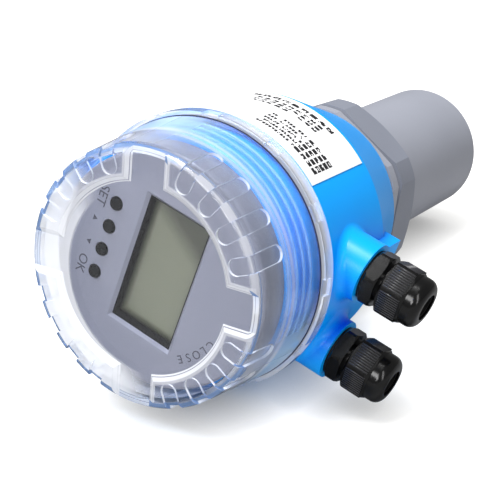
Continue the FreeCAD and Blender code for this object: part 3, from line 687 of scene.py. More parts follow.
# Lighter than the nut's black, a painted highlight on the crests, so that each rib shows as a line.
NYLON_RIBS_PAINTED_HIGHLIGHT = MouldedPlastic("black_nylon_polished_ribs", "303034", "38383c", 0.3, 1.53, 0.5, 0.012, 0.5)
# Dull black with hardly a reflection under the clear cap.
BLACK_KEYS = MouldedPlastic("black_abs_keys", "040406", "08080a", 0.3, 1.54, 0.4, 0.01, 0.1)
# Matt black that swallows light in the seams.
BLACK_RUBBER = MouldedPlastic("black_nitrile_rubber", "0c0c0d", "121213", 0.6, 1.52, 0.4, 0.03, 0.3)
# Clean white film with a faint sheen.
WHITE_VINYL = MouldedPlastic("white_vinyl_film", "f0f0f2", "f6f6f7", 0.4, 1.5, 0.8, 0.005, 0.4)
# Flat black that reads as print on the film.
BLACK_INK = MouldedPlastic("black_printing_ink", "17171a", "202024", 0.55, 1.5, 0.5, 0.004)
# Dark grey, so that the words stay quiet on the grey cup.
GREY_INK = MouldedPlastic("dark_grey_printing_ink", "34343c", "3c3c44", 0.6, 1.5, 0.5, 0.004)
# Black and fully matt, a dark line round the panel.
BLACK_FOAM = MouldedPlastic("black_foam_gasket", "0c0c0e", "121214", 0.85, 1.45, 0.5, 0.06, 0.2)
# Dark green lacquer with the shine of a coated board.
GREEN_BOARD = MouldedPlastic("green_solder_resist", "0d4a2b", "125a35", 0.3, 1.55, 1.2, 0.02)
# Clear green and half matt, as terminal blocks are.
GREEN_TERMINAL = MouldedPlastic("green_polyamide_terminal", "1d7f3f", "228a47", 0.45, 1.53, 0.5, 0.015)
# Chalky cream with no shine.
CERAMIC = MouldedPlastic("fired_piezo_ceramic", "cfc8b4", "d8d2c0", 0.7, 1.6, 0.3, 0.02)
# Near black with the slow waves of a poured resin.
POTTING = MouldedPlastic("cast_polyurethane", "1a1a1d", "222226", 0.35, 1.5, 3.0, 0.05)
# Warm yellow metal with fine rings.
BRASS = PlainMetal("turned_brass", "c9a45a", 0.28, 0.4)
# Cool bright metal.
STEEL = PlainMetal("zinc_plated_steel", "b9bcc0", 0.32, 0.4)
# Clear as glass on the face; bright edges, blue outer rim, neck bands and grey side are painted light.
CLEAR_COVER = ClearPlastic("clear_polycarbonate_moulded",
                           Haze(wall=0.6, land=0.38, edge=0.32, flange=0.38, veil=0.15, neck=0.1, crest=0.36,
                                skirt=0.02, glance=0.68, gate=0.55, rim=0.5, foot=0.5))
# Evenly milky, so that the ridges show as pale lines, a painted highlight on a real thread.
CLEAR_THREAD = ClearPlastic("clear_polycarbonate_thread", Haze.even(0.4))
# Milkier still, a bright line round each grip, a painted highlight.
CLEAR_RIM = ClearPlastic("clear_polycarbonate_grip_rim", Haze.even(0.5))
# Grey-green and calm, with cells that only show close up, and painted shadow in a corner and on two walls.
DISPLAY = DisplayGlass("reflective_liquid_crystal", "787962", "70725c", 3.4)
# White up to the instrument, with only its shadow on it, cast by the lamps and painted near the contact.
WHITE_PAPER = FloorPaper("white_paper_floor")


@cache
def made(finish: Finish) -> Material:
    """Gives a finish's material, which is built once."""
    return finish.material()


def put(name: str, mesh: Mesh, body: Body) -> None:
    """Makes a finished mesh a piece of the part.

    Args:
        name: the piece's name.
        mesh: its mesh, in place and in metres.
        body: the body that it rides on.
    """
    mesh.name = name
    piece = bpy.data.objects.new(name, mesh)
    bpy.context.scene.collection.objects.link(piece)
    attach(piece, body.value)
    LOG.info("made %s: %d faces on %s", name, len(mesh.polygons), body.value)


def node_tree(name: str, sizes: dict[str, float | int],
              takes_mesh: bool = False) -> tuple[Tree, dict[str, Field]]:
    """Starts a geometry tree whose sizes are named inputs.

    Args:
        name: the tree's name.
        sizes: input names with their first values, lengths in metres.
        takes_mesh: whether the tree starts from the object's own mesh.

    Returns:
        The tree and its inputs by name.
    """
    tree = bpy.data.node_groups.new(name, "GeometryNodeTree")
    if takes_mesh:
        tree.interface.new_socket("Geometry", in_out="INPUT", socket_type="NodeSocketGeometry")
    for size, value in sizes.items():
        kind = "NodeSocketInt" if isinstance(value, int) else "NodeSocketFloat"
        tree.interface.new_socket(size, in_out="INPUT", socket_type=kind).default_value = value
    tree.interface.new_socket("Finish", in_out="INPUT", socket_type="NodeSocketMaterial")
    tree.interface.new_socket("Geometry", in_out="OUTPUT", socket_type="NodeSocketGeometry")
    inputs = add_node(tree, "NodeGroupInput").outputs
    return tree, {socket.name: Field(tree, socket) for socket in inputs if socket.name}


def close_tree(tree: Tree, finish: Field, geometry: Node) -> None:
    """Ends a geometry tree in real, dressed geometry.

    Args:
        tree: the tree.
        finish: its input for the material.
        geometry: the node that ends what it has made.
    """
    real = add_node(tree, "GeometryNodeRealizeInstances", {}, {"Geometry": geometry})
    dressed = add_node(tree, "GeometryNodeSetMaterial", {}, {"Geometry": real, "Material": finish})
    add_node(tree, "NodeGroupOutput", {}, {"Geometry": dressed})


def grow(tree: Tree, values: dict[str, object], place: Matrix | None = None,
         base: Mesh | None = None) -> Mesh:
    """Runs a geometry tree and keeps its result as a plain mesh.

    Args:
        tree: the geometry tree.
        values: its input values by name.
        place: where the result goes.
        base: the mesh that the tree starts from, where it takes one.

    Returns:
        The mesh.
    """
    seed = bpy.data.objects.new("seed", base or bpy.data.meshes.new("seed"))
    bpy.context.scene.collection.objects.link(seed)
    modifier = seed.modifiers.new("grown", "NODES")
    modifier.node_group = tree
    for item in tree.interface.items_tree:
        if item.in_out == "INPUT" and item.name in values:
            modifier[item.identifier] = values[item.name]
    evaluated = seed.evaluated_get(bpy.context.evaluated_depsgraph_get())
    mesh = bpy.data.meshes.new_from_object(evaluated)
    seed.modifiers.remove(modifier)
    bpy.data.objects.remove(seed)
    mesh.transform(place or Matrix())
    return mesh


def thread_tree() -> Tree:
    """Builds the tree of a screw thread: a rounded ridge along a helix about Z.

    Returns:
        The geometry tree.
    """
    tree, size = node_tree("screw_thread", {"Radius": 0.04, "Pitch": 0.004, "Turns": 3.5, "Base": 0.0,
                                            "Ridge": 0.0005})
    path = add_node(tree, "GeometryNodeCurveSpiral", {"Resolution": TURN_STEPS},
                    {"Rotations": size["Turns"], "Start Radius": size["Radius"], "End Radius": size["Radius"],
                     "Height": size["Pitch"] * size["Turns"]})
    ridge = add_node(tree, "GeometryNodeCurvePrimitiveCircle", {"Resolution": RIDGE_SIDES},
                     {"Radius": size["Ridge"]})
    swept = add_node(tree, "GeometryNodeCurveToMesh", {"Fill Caps": True},
                     {"Curve": path, "Profile Curve": ridge})
    smooth = add_node(tree, "GeometryNodeSetShadeSmooth", {}, {"Geometry": swept})
    lift = add_node(tree, "ShaderNodeCombineXYZ", {}, {"Z": size["Base"]})
    lifted = add_node(tree, "GeometryNodeTransform", {}, {"Geometry": smooth, "Translation": lift})
    close_tree(tree, size["Finish"], lifted)
    return tree


def rib_tree() -> Tree:
    """Builds the tree of the grip ribs on a hexagon's flats, along Z.

    Returns:
        The geometry tree.
    """
    tree, size = node_tree("grip_ribs", {"Count": 12, "Pitch": 0.00065, "Radius": 0.0002, "Length": 0.007,
                                         "Distance": 0.0086, "Base": 0.0, "Turn": 0.0, "Flats": 6})
    rod = add_node(tree, "GeometryNodeMeshCylinder", {"Vertices": RIDGE_SIDES},
                   {"Radius": size["Radius"], "Depth": size["Length"]})
    bar = add_node(tree, "GeometryNodeSetShadeSmooth", {}, {"Geometry": rod})
    step = add_node(tree, "ShaderNodeCombineXYZ", {}, {"Y": size["Pitch"]})
    start = add_node(tree, "ShaderNodeCombineXYZ", {}, {"X": size["Distance"],
                                                        "Y": (size["Count"] - 1.0) * size["Pitch"] * -0.5,
                                                        "Z": size["Length"] * 0.5 + size["Base"]})
    line = add_node(tree, "GeometryNodeMeshLine", {},
                    {"Count": size["Count"], "Start Location": start, "Offset": step})
    row = add_node(tree, "GeometryNodeInstanceOnPoints", {}, {"Points": line, "Instance": bar})
    real = add_node(tree, "GeometryNodeRealizeInstances", {}, {"Geometry": row})
    flats = add_node(tree, "GeometryNodePoints", {}, {"Count": size["Flats"]})
    index = Field(tree, add_node(tree, "GeometryNodeInputIndex").outputs[0])
    turn = add_node(tree, "ShaderNodeCombineXYZ", {}, {"Z": index * math.tau / size["Flats"] + size["Turn"]})
    rows = add_node(tree, "GeometryNodeInstanceOnPoints", {},
                    {"Points": flats, "Instance": real, "Rotation": turn})
    close_tree(tree, size["Finish"], rows)
    return tree


def rim_tree() -> Tree:
    """Builds the tree of the grip rims: one closed outline, swept as a bead and repeated in groups round Z.

    Returns:
        The geometry tree.
    """
    tree, size = node_tree("grip_rims", {"Bead": 0.00016, "Turn": 0.0, "Pitch": 0.27, "Group": 4,
                                         "Groups": 4}, takes_mesh=True)
    path = add_node(tree, "GeometryNodeMeshToCurve", {}, {"Mesh": size["Geometry"]})
    bead = add_node(tree, "GeometryNodeCurvePrimitiveCircle", {"Resolution": BEAD_SIDES},
                    {"Radius": size["Bead"]})
    swept = add_node(tree, "GeometryNodeCurveToMesh", {}, {"Curve": path, "Profile Curve": bead})
    smooth = add_node(tree, "GeometryNodeSetShadeSmooth", {}, {"Geometry": swept})
    spots = add_node(tree, "GeometryNodePoints", {}, {"Count": size["Group"] * size["Groups"]})
    index = Field(tree, add_node(tree, "GeometryNodeInputIndex").outputs[0])
    group = (index / size["Group"]).worked("FLOOR")
    centred = index.worked("MODULO", size["Group"]) - (size["Group"] - 1.0) * 0.5
    angle = centred * size["Pitch"] + size["Turn"] + group * math.tau / size["Groups"]
    turn = add_node(tree, "ShaderNodeCombineXYZ", {}, {"Z": angle})
    rims = add_node(tree, "GeometryNodeInstanceOnPoints", {},
                    {"Points": spots, "Instance": smooth, "Rotation": turn})
    close_tree(tree, size["Finish"], rims)
    return tree


def print_tree() -> Tree:
    """Builds the tree of printed rows: signs of a few strokes each, with gaps, wrapped round a drum.

    Returns:
        The geometry tree.
    """
    tree, size = node_tree("printed_rows", {
        "Columns": 10, "Rows": 4, "Column Pitch": 0.002, "Row Pitch": 0.003, "Wide": 0.0014, "Tall": 0.0014,
        "Strokes": 3, "Keep": 0.8, "Ink": 0.7, "Seed": 1, "Radius": 0.045, "Start": 0.0, "Base": 0.0,
        "Film": 0.00002})
    row_length = (size["Columns"] - 1.0) * size["Column Pitch"]
    block_height = (size["Rows"] - 1.0) * size["Row Pitch"]
    spread = add_node(tree, "GeometryNodeMeshGrid", {},
                      {"Size X": row_length, "Vertices X": size["Columns"],
                       "Size Y": block_height, "Vertices Y": size["Rows"]})
    spots = thinned(tree, spread, size["Seed"], size["Keep"])
    wide, tall = (size[name] / size["Strokes"] for name in ("Wide", "Tall"))
    cell = add_node(tree, "GeometryNodeMeshGrid", {},
                    {"Size X": size["Wide"] - wide, "Vertices X": size["Strokes"],
                     "Size Y": size["Tall"] - tall, "Vertices Y": size["Strokes"]})
    cells = add_node(tree, "GeometryNodeInstanceOnPoints", {}, {"Points": spots, "Instance": cell})
    signs = add_node(tree, "GeometryNodeRealizeInstances", {}, {"Geometry": cells})
    inked = thinned(tree, signs, size["Seed"] + STROKE_SEED_STEP, size["Ink"])
    stroke = add_node(tree, "ShaderNodeCombineXYZ", {}, {"X": wide, "Y": tall, "Z": size["Film"]})
    mark = add_node(tree, "GeometryNodeMeshCube", {}, {"Size": stroke})
    marks = add_node(tree, "GeometryNodeInstanceOnPoints", {}, {"Points": inked, "Instance": mark})
    real = add_node(tree, "GeometryNodeRealizeInstances", {}, {"Geometry": marks})
    where = add_node(tree, "GeometryNodeInputPosition")
    axes = add_node(tree, "ShaderNodeSeparateXYZ", {}, {0: where})
    x, y, z = (Field(tree, axes.outputs[axis]) for axis in "XYZ")
    angle = x / size["Radius"] + size["Start"]
    reach = z + size["Radius"]
    bent = add_node(tree, "ShaderNodeCombineXYZ", {},
                    {"X": reach * angle.worked("COSINE"), "Y": reach * angle.worked("SINE"),
                     "Z": y + size["Base"]})
    wrapped = add_node(tree, "GeometryNodeSetPosition", {}, {"Geometry": real, "Position": bent})
    close_tree(tree, size["Finish"], wrapped)
    return tree


def thinned(tree: Tree, geometry: Node, seed: Field, share: Field) -> Node:
    """Deletes points by chance.

    Args:
        tree: the geometry tree.
        geometry: the node that makes the points.
        seed: the seed of the draw.
        share: the share of the points that stay.

    Returns:
        The node that gives the points that are left.
    """
    chance = add_node(tree, "FunctionNodeRandomValue", {"data_type": "FLOAT"}, {"Seed": seed})
    out = add_node(tree, "FunctionNodeCompare", {"operation": "GREATER_THAN"},
                   {0: chance.outputs[1], 1: share})
    left = add_node(tree, "GeometryNodeDeleteGeometry", {"domain": "POINT"},
                    {"Geometry": geometry, "Selection": out})
    return left


def joined(name: str, meshes: list[Mesh], finish: Finish) -> Mesh:
    """Puts several meshes into one.

    Args:
        name: the new mesh's name.
        meshes: the meshes, which are removed.
        finish: the finish of the whole.

    Returns:
        The joined mesh.
    """
    whole = bmesh.new()
    for mesh in meshes:
        whole.from_mesh(mesh)
        bpy.data.meshes.remove(mesh)
    result = bpy.data.meshes.new(name)
    whole.to_mesh(result)
    whole.free()
    result.materials.clear()
    result.materials.append(made(finish))
    return result


def lettering(word: str, tall: float, film: float, capital_share: float = 0.72) -> Mesh:
    """Makes a printed word as a thin mesh about its own centre.

    Args:
        word: what it says.
        tall: the height of a capital.
        film: the thickness of the print.
        capital_share: a capital's height as a share of the font's size.

    Returns:
        The mesh, lying in the XY plane.
    """
    curve = bpy.data.curves.new("word", "FONT")
    curve.body = word
    curve.align_x = "CENTER"
    curve.align_y = "CENTER"
    curve.size = tall * MM / capital_share
    curve.extrude = film * MM / 2
    curve.resolution_u = LETTER_STEPS
    holder = bpy.data.objects.new("word", curve)
    bpy.context.scene.collection.objects.link(holder)
    mesh = bpy.data.meshes.new_from_object(holder.evaluated_get(bpy.context.evaluated_depsgraph_get()))
    bpy.data.objects.remove(holder)
    bpy.data.curves.remove(curve)
    return mesh


def slab(outline: list[tuple[float, float]], base: float, height: float) -> Mesh:
    """Raises a flat outline to a thin closed solid.

    Args:
        outline: its corners, anticlockwise from above.
        base: the height of its underside.
        height: its thickness.

    Returns:
        The mesh.
    """
    shape = bmesh.new()
    corners = [shape.verts.new((x * MM, y * MM, base * MM)) for x, y in outline]
    face = shape.faces.new(corners)
    raised = bmesh.ops.extrude_face_region(shape, geom=[face])["geom"]
    top = [item for item in raised if isinstance(item, bmesh.types.BMVert)]
    bmesh.ops.translate(shape, verts=top, vec=(0, 0, height * MM))
    bmesh.ops.recalc_face_normals(shape, faces=shape.faces)
    mesh = bpy.data.meshes.new("slab")
    shape.to_mesh(mesh)
    shape.free()
    return mesh


@dataclass(frozen=True)
class Thread:
    """A screw thread about Z: its ridge's path and radius, its rise for each turn and where it starts."""

    radius: float
    pitch: float
    turns: float
    base: float
    ridge: float

    def mesh(self, tree: Tree, finish: Finish, place: Matrix | None = None) -> Mesh:
        """Makes the ridge with the tree of a screw thread, in a finish and at a place."""
        return grow(tree, {"Radius": self.radius * MM, "Pitch": self.pitch * MM, "Turns": self.turns,
                           "Base": self.base * MM, "Ridge": self.ridge * MM, "Finish": made(finish)}, place)


@dataclass(frozen=True)
class PrintBlock:
    """One block of the sticker's print: rows of signs that can't be read, each of a few strokes.

    Keep is the share of the signs that are printed and ink the share of each sign's strokes. Turn is how many
    degrees past the sticker's first edge the block's middle lies, and height is where that is on the drum.
    """

    columns: int
    rows: int
    column_pitch: float
    row_pitch: float
    wide: float
    tall: float
    strokes: int
    keep: float
    ink: float
    seed: int
    turn: float
    height: float

    def values(self, first_edge: float) -> dict[str, float | int]:
        """Gives the block's inputs to the tree of printed rows.

        Args:
            first_edge: the direction of the sticker's first edge, in degrees.

        Returns:
            The values by name.
        """
        return {"Columns": self.columns, "Rows": self.rows, "Column Pitch": self.column_pitch * MM,
                "Row Pitch": self.row_pitch * MM, "Wide": self.wide * MM, "Tall": self.tall * MM,
                "Strokes": self.strokes, "Keep": self.keep, "Ink": self.ink, "Seed": self.seed,
                "Start": math.radians(first_edge + self.turn), "Base": self.height * MM}


@dataclass(frozen=True)
class Trees:
    """The geometry trees that the sub-assemblies share."""

    thread: Tree
    rows: Tree
    rims: Tree
    ribs: Tree


@dataclass
class Assembly:
    """A sub-assembly, with the frame's objects by name and the trees that it works with."""

    nodes: Nodes
    trees: Trees

    def dress(self, names: list[str], finish: Finish) -> None:
        """Gives nodes of the frame a finish.

        Args:
            names: the nodes to dress.
            finish: their finish.
        """
        for name in names:
            self.nodes[name].data.materials.clear()
            self.nodes[name].data.materials.append(made(finish))
            LOG.info("dressed %s with %s", name, finish.name)


@dataclass
class Housing(Assembly):
    """The blue moulding with its threaded neck and the sticker on its drum."""

    thread: Thread = Thread(radius=40.15, pitch=4.0, turns=3.4, base=168.4, ridge=0.5)
    label_radius: float = 45.25
    label_start: float = 146.0
    label_film: float = 0.04
    blocks: tuple[PrintBlock, ...] = (
        PrintBlock(1, 5, 3.0, 2.46, 2.3, 2.0, 4, keep=1.1, ink=0.88, seed=3, turn=5.0, height=153.9),
        PrintBlock(3, 5, 2.85, 2.46, 2.1, 1.8, 3, keep=1.1, ink=0.84, seed=5, turn=12.2, height=153.9),
        PrintBlock(14, 5, 1.2, 2.46, 0.95, 1.5, 2, keep=0.86, ink=0.84, seed=8, turn=27.0, height=153.9),
        PrintBlock(9, 1, 3.65, 3.0, 2.8, 2.2, 4, keep=1.1, ink=0.88, seed=9, turn=36.7, height=134.4),
        PrintBlock(9, 3, 3.0, 2.1, 2.1, 1.5, 3, keep=0.92, ink=0.84, seed=12, turn=36.6, height=139.6))

    def build(self) -> None:
        """Makes the neck's thread and the print on the sticker, and dresses the housing and the sticker."""
        put("neck_thread", self.thread.mesh(self.trees.thread, BLUE_ABS), Body.METER)
        self.dress(["housing"], BLUE_ABS)
        drum = {"Radius": self.label_radius * MM, "Film": self.label_film * MM, "Finish": made(BLACK_INK)}
        meshes = [grow(self.trees.rows, drum | block.values(self.label_start)) for block in self.blocks]
        put("label_print", joined("label_print", meshes, BLACK_INK), Body.METER)
        self.dress(["label"], WHITE_VINYL)


@dataclass
class Cover(Assembly):
    """The clear screw cap and its seal."""

    face: float = 204.5
    edge_round: float = 3.0
    edge_radius: float = 41.8
    skirt_radius: float = 44.4
    flange_top: float = 171.0
    grip_width: float = 5.4
    grip_reach: float = 6.0
    grip_drop: float = 12.5
    grip_pitch: float = 15.5
    first_group: float = 61.0
    bead: float = 0.07
    step: float = 0.12
    thread: Thread = Thread(radius=41.0, pitch=4.0, turns=3.0, base=170.4, ridge=0.55)

    def build(self) -> None:
        """Makes the thread and the bright rims of the grips, and dresses the cap and its seal."""
        # The grip rims are milky beads, a painted highlight round each grip.
        outline = bpy.data.meshes.new("grip_outline")
        points = self.grip_outline()
        edges = [(index, (index + 1) % len(points)) for index in range(len(points))]
        outline.from_pydata([[length * MM for length in point] for point in points], edges, [])
        values = {"Bead": self.bead * MM, "Turn": math.radians(self.first_group),
                  "Pitch": math.radians(self.grip_pitch), "Finish": made(CLEAR_RIM)}
        mesh = grow(self.trees.rims, values, base=outline)
        put("grip_rims", mesh, Body.COVER)
        mesh = self.thread.mesh(self.trees.thread, CLEAR_THREAD)
        put("cover_thread", mesh, Body.COVER)
        self.dress(["cover"], CLEAR_COVER)
        self.dress(["cover_seal"], BLACK_RUBBER)

    def profile(self) -> list[tuple[float, float]]:
        """Gives the cap's outside from its face over the edge and down its side, as radius and height.

        Returns:
            The points, a step apart.
        """
        start = self.edge_radius - self.grip_reach - self.grip_width
        inner = self.edge_radius - self.edge_round
        top = [(start + self.step * index, self.face) for index in range(int((inner - start) / self.step))]
        count = int(self.edge_round * math.pi / 2 / self.step)
        angles = [math.pi / 2 * index / count for index in range(count)]
        centre = self.face - self.edge_round
        arc = [(inner + self.edge_round * math.sin(angle), centre + self.edge_round * math.cos(angle))
               for angle in angles]
        fall = self.grip_drop + self.grip_width - self.edge_round
        drops = [self.step * index for index in range(int(fall / self.step))]
        side = [(self.edge_radius + drop * self.lean(), centre - drop) for drop in drops]
        return top + arc + side

    def lean(self) -> float:
        """Gives how far the cap's side runs out for each millimetre down."""
        return (self.skirt_radius - self.edge_radius) / (self.face - self.edge_round - self.flange_top)

    def half_width(self, radius: float, height: float) -> float:
        """Gives half the width of a grip at a point of the profile, and 0 beyond its ends.

        Args:
            radius: the point's radius.
            height: the point's height.

        Returns:
            The half width.
        """
        inward = max(self.edge_radius - self.grip_reach - radius, 0.0)
        below = max(self.face - self.grip_drop - height, 0.0)
        return math.sqrt(max(self.grip_width ** 2 / 4 - inward ** 2 - below ** 2, 0.0))

    def grip_outline(self) -> list[Triple]:
        """Gives the closed rim of one grip about +X, a bead's radius under the surface.

        Returns:
            The points of the rim.
        """
        right, left = [], []
        for radius, height in self.profile():
            half = self.half_width(radius, height)
            if half > 0:
                inset, drop = radius - self.bead, height - self.bead
                right.append((inset * math.cos(half / radius), inset * math.sin(half / radius), drop))
                left.append((right[-1][0], -right[-1][1], drop))
        return right + left[::-1]


@dataclass
class Display(Assembly):
    """The grey display cup: window, panel, keys and their printed legends."""

    top: float = 195.0
    panel_top: float = 190.6
    window: tuple[float, float] = (44.0, 23.0)
    window_y: float = 1.0
    bevel: float = 1.0
    foam: float = 0.35
    foam_gap: float = 0.01
    foam_lift: float = 0.02
    legend_row: float = -26.0
    legend_tall: float = 3.4
    key_places: tuple[float, ...] = (-13.4, -5.0, 3.4, 11.8)
    arrow: tuple[float, float] = (1.0, 0.8)
    turn_word: str = "CLOSE"
    turn_word_tall: float = 2.8
    turn_word_radius: float = 28.0
    turn_word_start: float = 66.0
    turn_word_step: float = 6.7
    film: float = 0.04

    def build(self) -> None:
        """Makes the foam frame and the legends, and dresses the display's nodes."""
        put("window_foam", joined("window_foam", self.foam_bars(), BLACK_FOAM), Body.METER)
        prints = self.key_words() + self.key_arrows() + self.turn_letters()
        put("bezel_legends", joined("bezel_legends", prints, GREY_INK), Body.METER)
        self.dress(["bezel"], GREY_BEZEL)
        self.dress(["lcd_panel"], DISPLAY)
        self.dress(["key_set", "key_up", "key_down", "key_ok"], BLACK_KEYS)

    def foam_bars(self) -> list[Mesh]:
        """Makes the four bars of black foam that line the window down to the panel.

        Returns:
            The bars.
        """
        half_x, half_y = (length / 2 for length in self.window)
        outer_x, outer_y = half_x - self.foam_gap, half_y - self.foam_gap
        inner_x, inner_y = half_x - self.foam, half_y - self.foam
        low = self.panel_top + self.foam_lift
        bars = []
        for sign in (-1, 1):
            left, right = sorted((sign * outer_x, sign * inner_x))
            bars.append((left, right, self.window_y - outer_y, self.window_y + outer_y))
            bottom, top = sorted((self.window_y + sign * outer_y, self.window_y + sign * inner_y))
            bars.append((-inner_x, inner_x, bottom, top))
        tall = self.top - self.bevel - low
        return [slab([(left, bottom), (right, bottom), (right, top), (left, top)], low, tall)
                for left, right, bottom, top in bars]

    def key_words(self) -> list[Mesh]:
        """Prints the words under the first and the last key.

        Returns:
            The words.
        """
        words = []
        for word, x in (("SET", self.key_places[0]), ("OK", self.key_places[-1])):
            mesh = lettering(word, self.legend_tall, self.film)
            mesh.transform(Matrix.Translation(Vector((x, self.legend_row, self.top + self.film / 2)) * MM))
            words.append(mesh)
        return words

    def key_arrows(self) -> list[Mesh]:
        """Prints the arrows up and down under the keys between them.

        Returns:
            The arrows.
        """
        half_wide, half_tall = self.arrow
        arrows = []
        for sign, x in ((1, self.key_places[1]), (-1, self.key_places[2])):
            foot, tip = self.legend_row - sign * half_tall, self.legend_row + sign * half_tall
            corners = [(x - half_wide, foot), (x + half_wide, foot), (x, tip)]
            arrows.append(slab(corners[::sign], self.top, self.film))
        return arrows

    def turn_letters(self) -> list[Mesh]:
        """Prints the word for the cap's turn, letter by letter along the cup's rim.

        Returns:
            The letters.
        """
        letters = []
        for index, letter in enumerate(self.turn_word):
            angle = math.radians(self.turn_word_start - self.turn_word_step * index)
            mesh = lettering(letter, self.turn_word_tall, self.film)
            spot = Vector((self.turn_word_radius * math.cos(angle), self.turn_word_radius * math.sin(angle),
                           self.top + self.film / 2))
            mesh.transform(Matrix.Translation(spot * MM) @ Matrix.Rotation(angle - math.pi / 2, 4, "Z"))
            letters.append(mesh)
        return letters


@dataclass
class Probe(Assembly):
    """The grey probe with its thread, collar, nut and gasket."""

    thread: Thread = Thread(radius=26.0, pitch=2.0, turns=7.8, base=75.2, ridge=0.25)

    def build(self) -> None:
        """Makes the thread and dresses the probe's nodes."""
        put("probe_thread", self.thread.mesh(self.trees.thread, GREY_PP), Body.METER)
        self.dress(["sensor_body", "sensor_lock_nut"], GREY_PP)
        # The nut takes the darker copy of the grey: painted shade.
        self.dress(["mount_nut"], GREY_NUT_PAINTED_SHADE)
        self.dress(["mount_gasket", "sensor_seal"], BLACK_RUBBER)
        self.dress(["piezo_disc"], CERAMIC)
        self.dress(["potting"], POTTING)


@dataclass
class Gland(Assembly):
    """One cable gland: body, domed nut with ribbed flats and rubber insert.

    The ribs are drawn coarser than the real ones, which would be too fine to show.
    """

    side: Side
    spacing: float = 30.0
    height: float = 151.0
    boss_reach: float = 49.5
    flat_turn: float = 44.0
    flats: float = 17.2
    nut_base: float = 6.8
    nut_hex: float = 8.8
    rib_count: int = 10
    rib_pitch: float = 0.86
    rib_radius: float = 0.22
    rib_margin: float = 0.9
    thread: Thread = Thread(radius=6.6, pitch=1.4, turns=5.6, base=5.6, ridge=0.25)

    def place(self) -> Matrix:
        """Gives the place of the gland's own upright frame, laid along +Y on its boss."""
        spot = Vector((self.side.value * self.spacing / 2, self.boss_reach, self.height)) * MM
        return Matrix.Translation(spot) @ Matrix.Rotation(-math.pi / 2, 4, "X")

    def build(self) -> None:
        """Makes the ribs and the thread, and dresses the gland's nodes."""
        label = self.side.name.lower()
        nut = Body.NUT_LEFT if self.side is Side.LEFT else Body.NUT_RIGHT
        # The ribs carry a painted highlight, a lighter black, so that each shows as a line.
        values = {"Count": self.rib_count, "Pitch": self.rib_pitch * MM, "Radius": self.rib_radius * MM,
                  "Length": (self.nut_hex - 2 * self.rib_margin) * MM, "Distance": self.flats / 2 * MM,
                  "Base": (self.nut_base + self.rib_margin) * MM, "Turn": math.radians(self.flat_turn),
                  "Finish": made(NYLON_RIBS_PAINTED_HIGHLIGHT)}
        mesh = grow(self.trees.ribs, values, self.place())
        put(f"gland_ribs_{label}", mesh, nut)
        mesh = self.thread.mesh(self.trees.thread, BLACK_NYLON, self.place())
        put(f"gland_thread_{label}", mesh, Body.METER)
        self.dress([f"gland_body_{label}", f"gland_nut_{label}"], BLACK_NYLON)
        self.dress([f"gland_seal_{label}", f"gland_washer_{label}"], BLACK_RUBBER)


@dataclass
class Electronics(Assembly):
    """The boards, terminals, posts and screws inside."""

    def build(self) -> None:
        """Dresses the inner nodes."""
        self.dress(["display_board", "main_board"], GREEN_BOARD)
        self.dress(["terminal_block"], GREEN_TERMINAL)
        self.dress(["key_switches"], BLACK_KEYS)
        self.dress(["standoffs"], BRASS)
        self.dress(["board_screws", "terminal_screws"], STEEL)


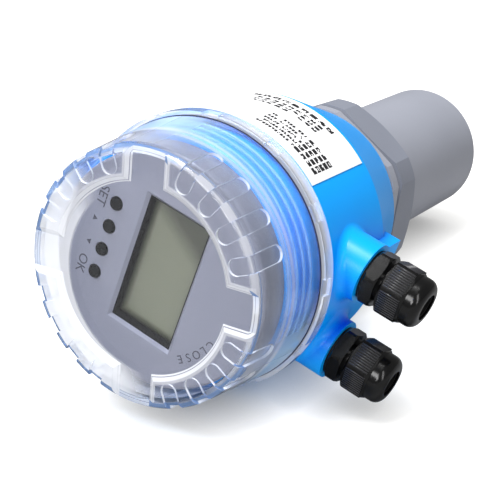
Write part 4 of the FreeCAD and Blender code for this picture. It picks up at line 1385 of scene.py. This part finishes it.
@dataclass
class Studio:
    """White floor under the instrument as it lies, soft light and the camera.

    Down is the way that the instrument's weight pulls as it lies. Lamps hang a distance from the target; it
    and their sizes are metres, and their power is watts. The world gives only a share of its white to diffuse
    light and to reflections.
    """

    down: Triple = (0.947, 0.302, -0.12)
    eye: Triple = (-212.4, 168.2, 530.1)
    right: Triple = (-0.3156, 0.7972, -0.5145)
    image_down: Triple = (0.8301, 0.4947, 0.2574)
    target: Triple = (0.0, 10.0, 140.0)
    lens: float = 100.8
    sensor: float = 36.0
    clip_end: float = 100.0
    white: str = "fffffe"
    floor_half: float = 3000.0
    world_diffuse: float = 0.33
    world_glossy: float = 0.2
    lamp_distance: float = 0.9
    lamp_level: Triple = (0.62, 0.7, 0.0)
    softbox_lean: float = 0.2
    softbox_size: tuple[float, float] = (0.35, 0.35)
    softbox_power: float = 11.5
    front_way: Triple = (-0.35, -0.1, 0.93)
    front_size: tuple[float, float] = (0.5, 0.2)
    front_power: float = 2.4
    strip_way: Triple = (-0.55, 0.52, 0.6)
    strip_size: tuple[float, float] = (0.9, 0.14)
    strip_power: float = 1.7

    def build(self, nodes: Nodes) -> None:
        """Sets up the camera, the floor, the world and the lamps.

        Args:
            nodes: the frame's objects by name.
        """
        scene = bpy.context.scene
        scene.view_settings.view_transform = "Standard"
        self.camera(scene)
        self.floor(scene, nodes)
        self.world(scene)
        along, _, up = self.axes()
        self.lamp(scene, "softbox", up - along * self.softbox_lean, self.softbox_size, self.softbox_power)
        self.lamp(scene, "front", Vector(self.front_way), self.front_size, self.front_power)
        self.lamp(scene, "strip", Vector(self.strip_way), self.strip_size, self.strip_power)

    def camera(self, scene: bpy.types.Scene) -> None:
        """Places the camera at the photograph's view.

        Args:
            scene: the scene that takes the camera.
        """
        data = bpy.data.cameras.new("camera")
        data.lens = self.lens
        data.sensor_width = self.sensor
        data.clip_end = self.clip_end
        camera = bpy.data.objects.new("camera", data)
        right = Vector(self.right).normalized()
        up = -Vector(self.image_down)
        up = (up - right * up.dot(right)).normalized()
        pose = Matrix((right, up, right.cross(up))).transposed().to_4x4()
        pose.translation = Vector(self.eye) * MM
        camera.matrix_world = pose
        scene.collection.objects.link(camera)
        scene.camera = camera

    def axes(self) -> tuple[Vector, Vector, Vector]:
        """Gives the floor's two directions and its upward normal.

        Returns:
            The direction to the picture's right, the one across it and the way up.
        """
        up = -Vector(self.down).normalized()
        along = Vector(self.right) - up * Vector(self.right).dot(up)
        along.normalize()
        return along, up.cross(along), up

    def floor(self, scene: bpy.types.Scene, nodes: Nodes) -> None:
        """Makes the floor, which touches the lowest points of the instrument as it lies.

        Args:
            scene: the scene that takes the floor.
            nodes: the frame's objects by name.
        """
        along, across, up = self.axes()
        low = min(up.dot(corner.co) for item in nodes.values() for corner in item.data.vertices)
        middle = Vector(self.target) * MM
        middle += up * (low - up.dot(middle))
        half = self.floor_half * MM
        signs = ((-1, -1), (1, -1), (1, 1), (-1, 1))
        corners = [middle + along * a * half + across * b * half for a, b in signs]
        mesh = bpy.data.meshes.new("floor")
        mesh.from_pydata(corners, [], [range(len(corners))])
        mesh.materials.append(made(WHITE_PAPER))
        floor = bpy.data.objects.new("floor", mesh)
        scene.collection.objects.link(floor)

    def world(self, scene: bpy.types.Scene) -> None:
        """Makes a white world that lights the part softly.

        Args:
            scene: the scene that takes the world.
        """
        world = bpy.data.worlds.new("white_studio")
        world.use_nodes = True
        tree = world.node_tree
        tree.nodes.clear()
        path = add_node(tree, "ShaderNodeLightPath")
        diffuse, glossy = (Field(tree, path.outputs[f"Is {kind} Ray"]) for kind in ("Diffuse", "Glossy"))
        seen = 1.0 - diffuse * (1.0 - self.world_diffuse) - glossy * (1.0 - self.world_glossy)
        light = add_node(tree, "ShaderNodeBackground", {"Color": linear(self.white)}, {"Strength": seen})
        add_node(tree, "ShaderNodeOutputWorld", {}, {"Surface": light})
        scene.world = world

    def lamp(self, scene: bpy.types.Scene, name: str, way: Vector, size: tuple[float, float],
             power: float) -> None:
        """Hangs a soft rectangular lamp that looks at the instrument.

        Args:
            scene: the scene that takes the lamp.
            name: the lamp's name.
            way: the direction from the instrument to the lamp.
            size: its two sides.
            power: its strength.
        """
        data = bpy.data.lights.new(name, "AREA")
        data.shape = "RECTANGLE"
        data.energy = power
        data.size, data.size_y = size
        lamp = bpy.data.objects.new(name, data)
        facing = way.normalized()
        level = Vector(self.lamp_level)
        level = (level - facing * facing.dot(level)).normalized()
        lamp.matrix_world = Matrix((level, facing.cross(level), facing)).transposed().to_4x4()
        lamp.matrix_world.translation = Vector(self.target) * MM + facing * self.lamp_distance
        scene.collection.objects.link(lamp)


def main() -> None:
    """Loads the frame, builds every sub-assembly and sets up the studio."""
    logging.basicConfig(level=logging.INFO, format="%(message)s")
    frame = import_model()
    nodes = frame["nodes"]
    trees = Trees(thread_tree(), print_tree(), rim_tree(), rib_tree())
    for kind in (Housing, Cover, Display, Probe):
        kind(nodes, trees).build()
    for side in Side:
        Gland(nodes, trees, side).build()
    Electronics(nodes, trees).build()
    Studio().build(nodes)


if __name__ == "__main__":
    main()
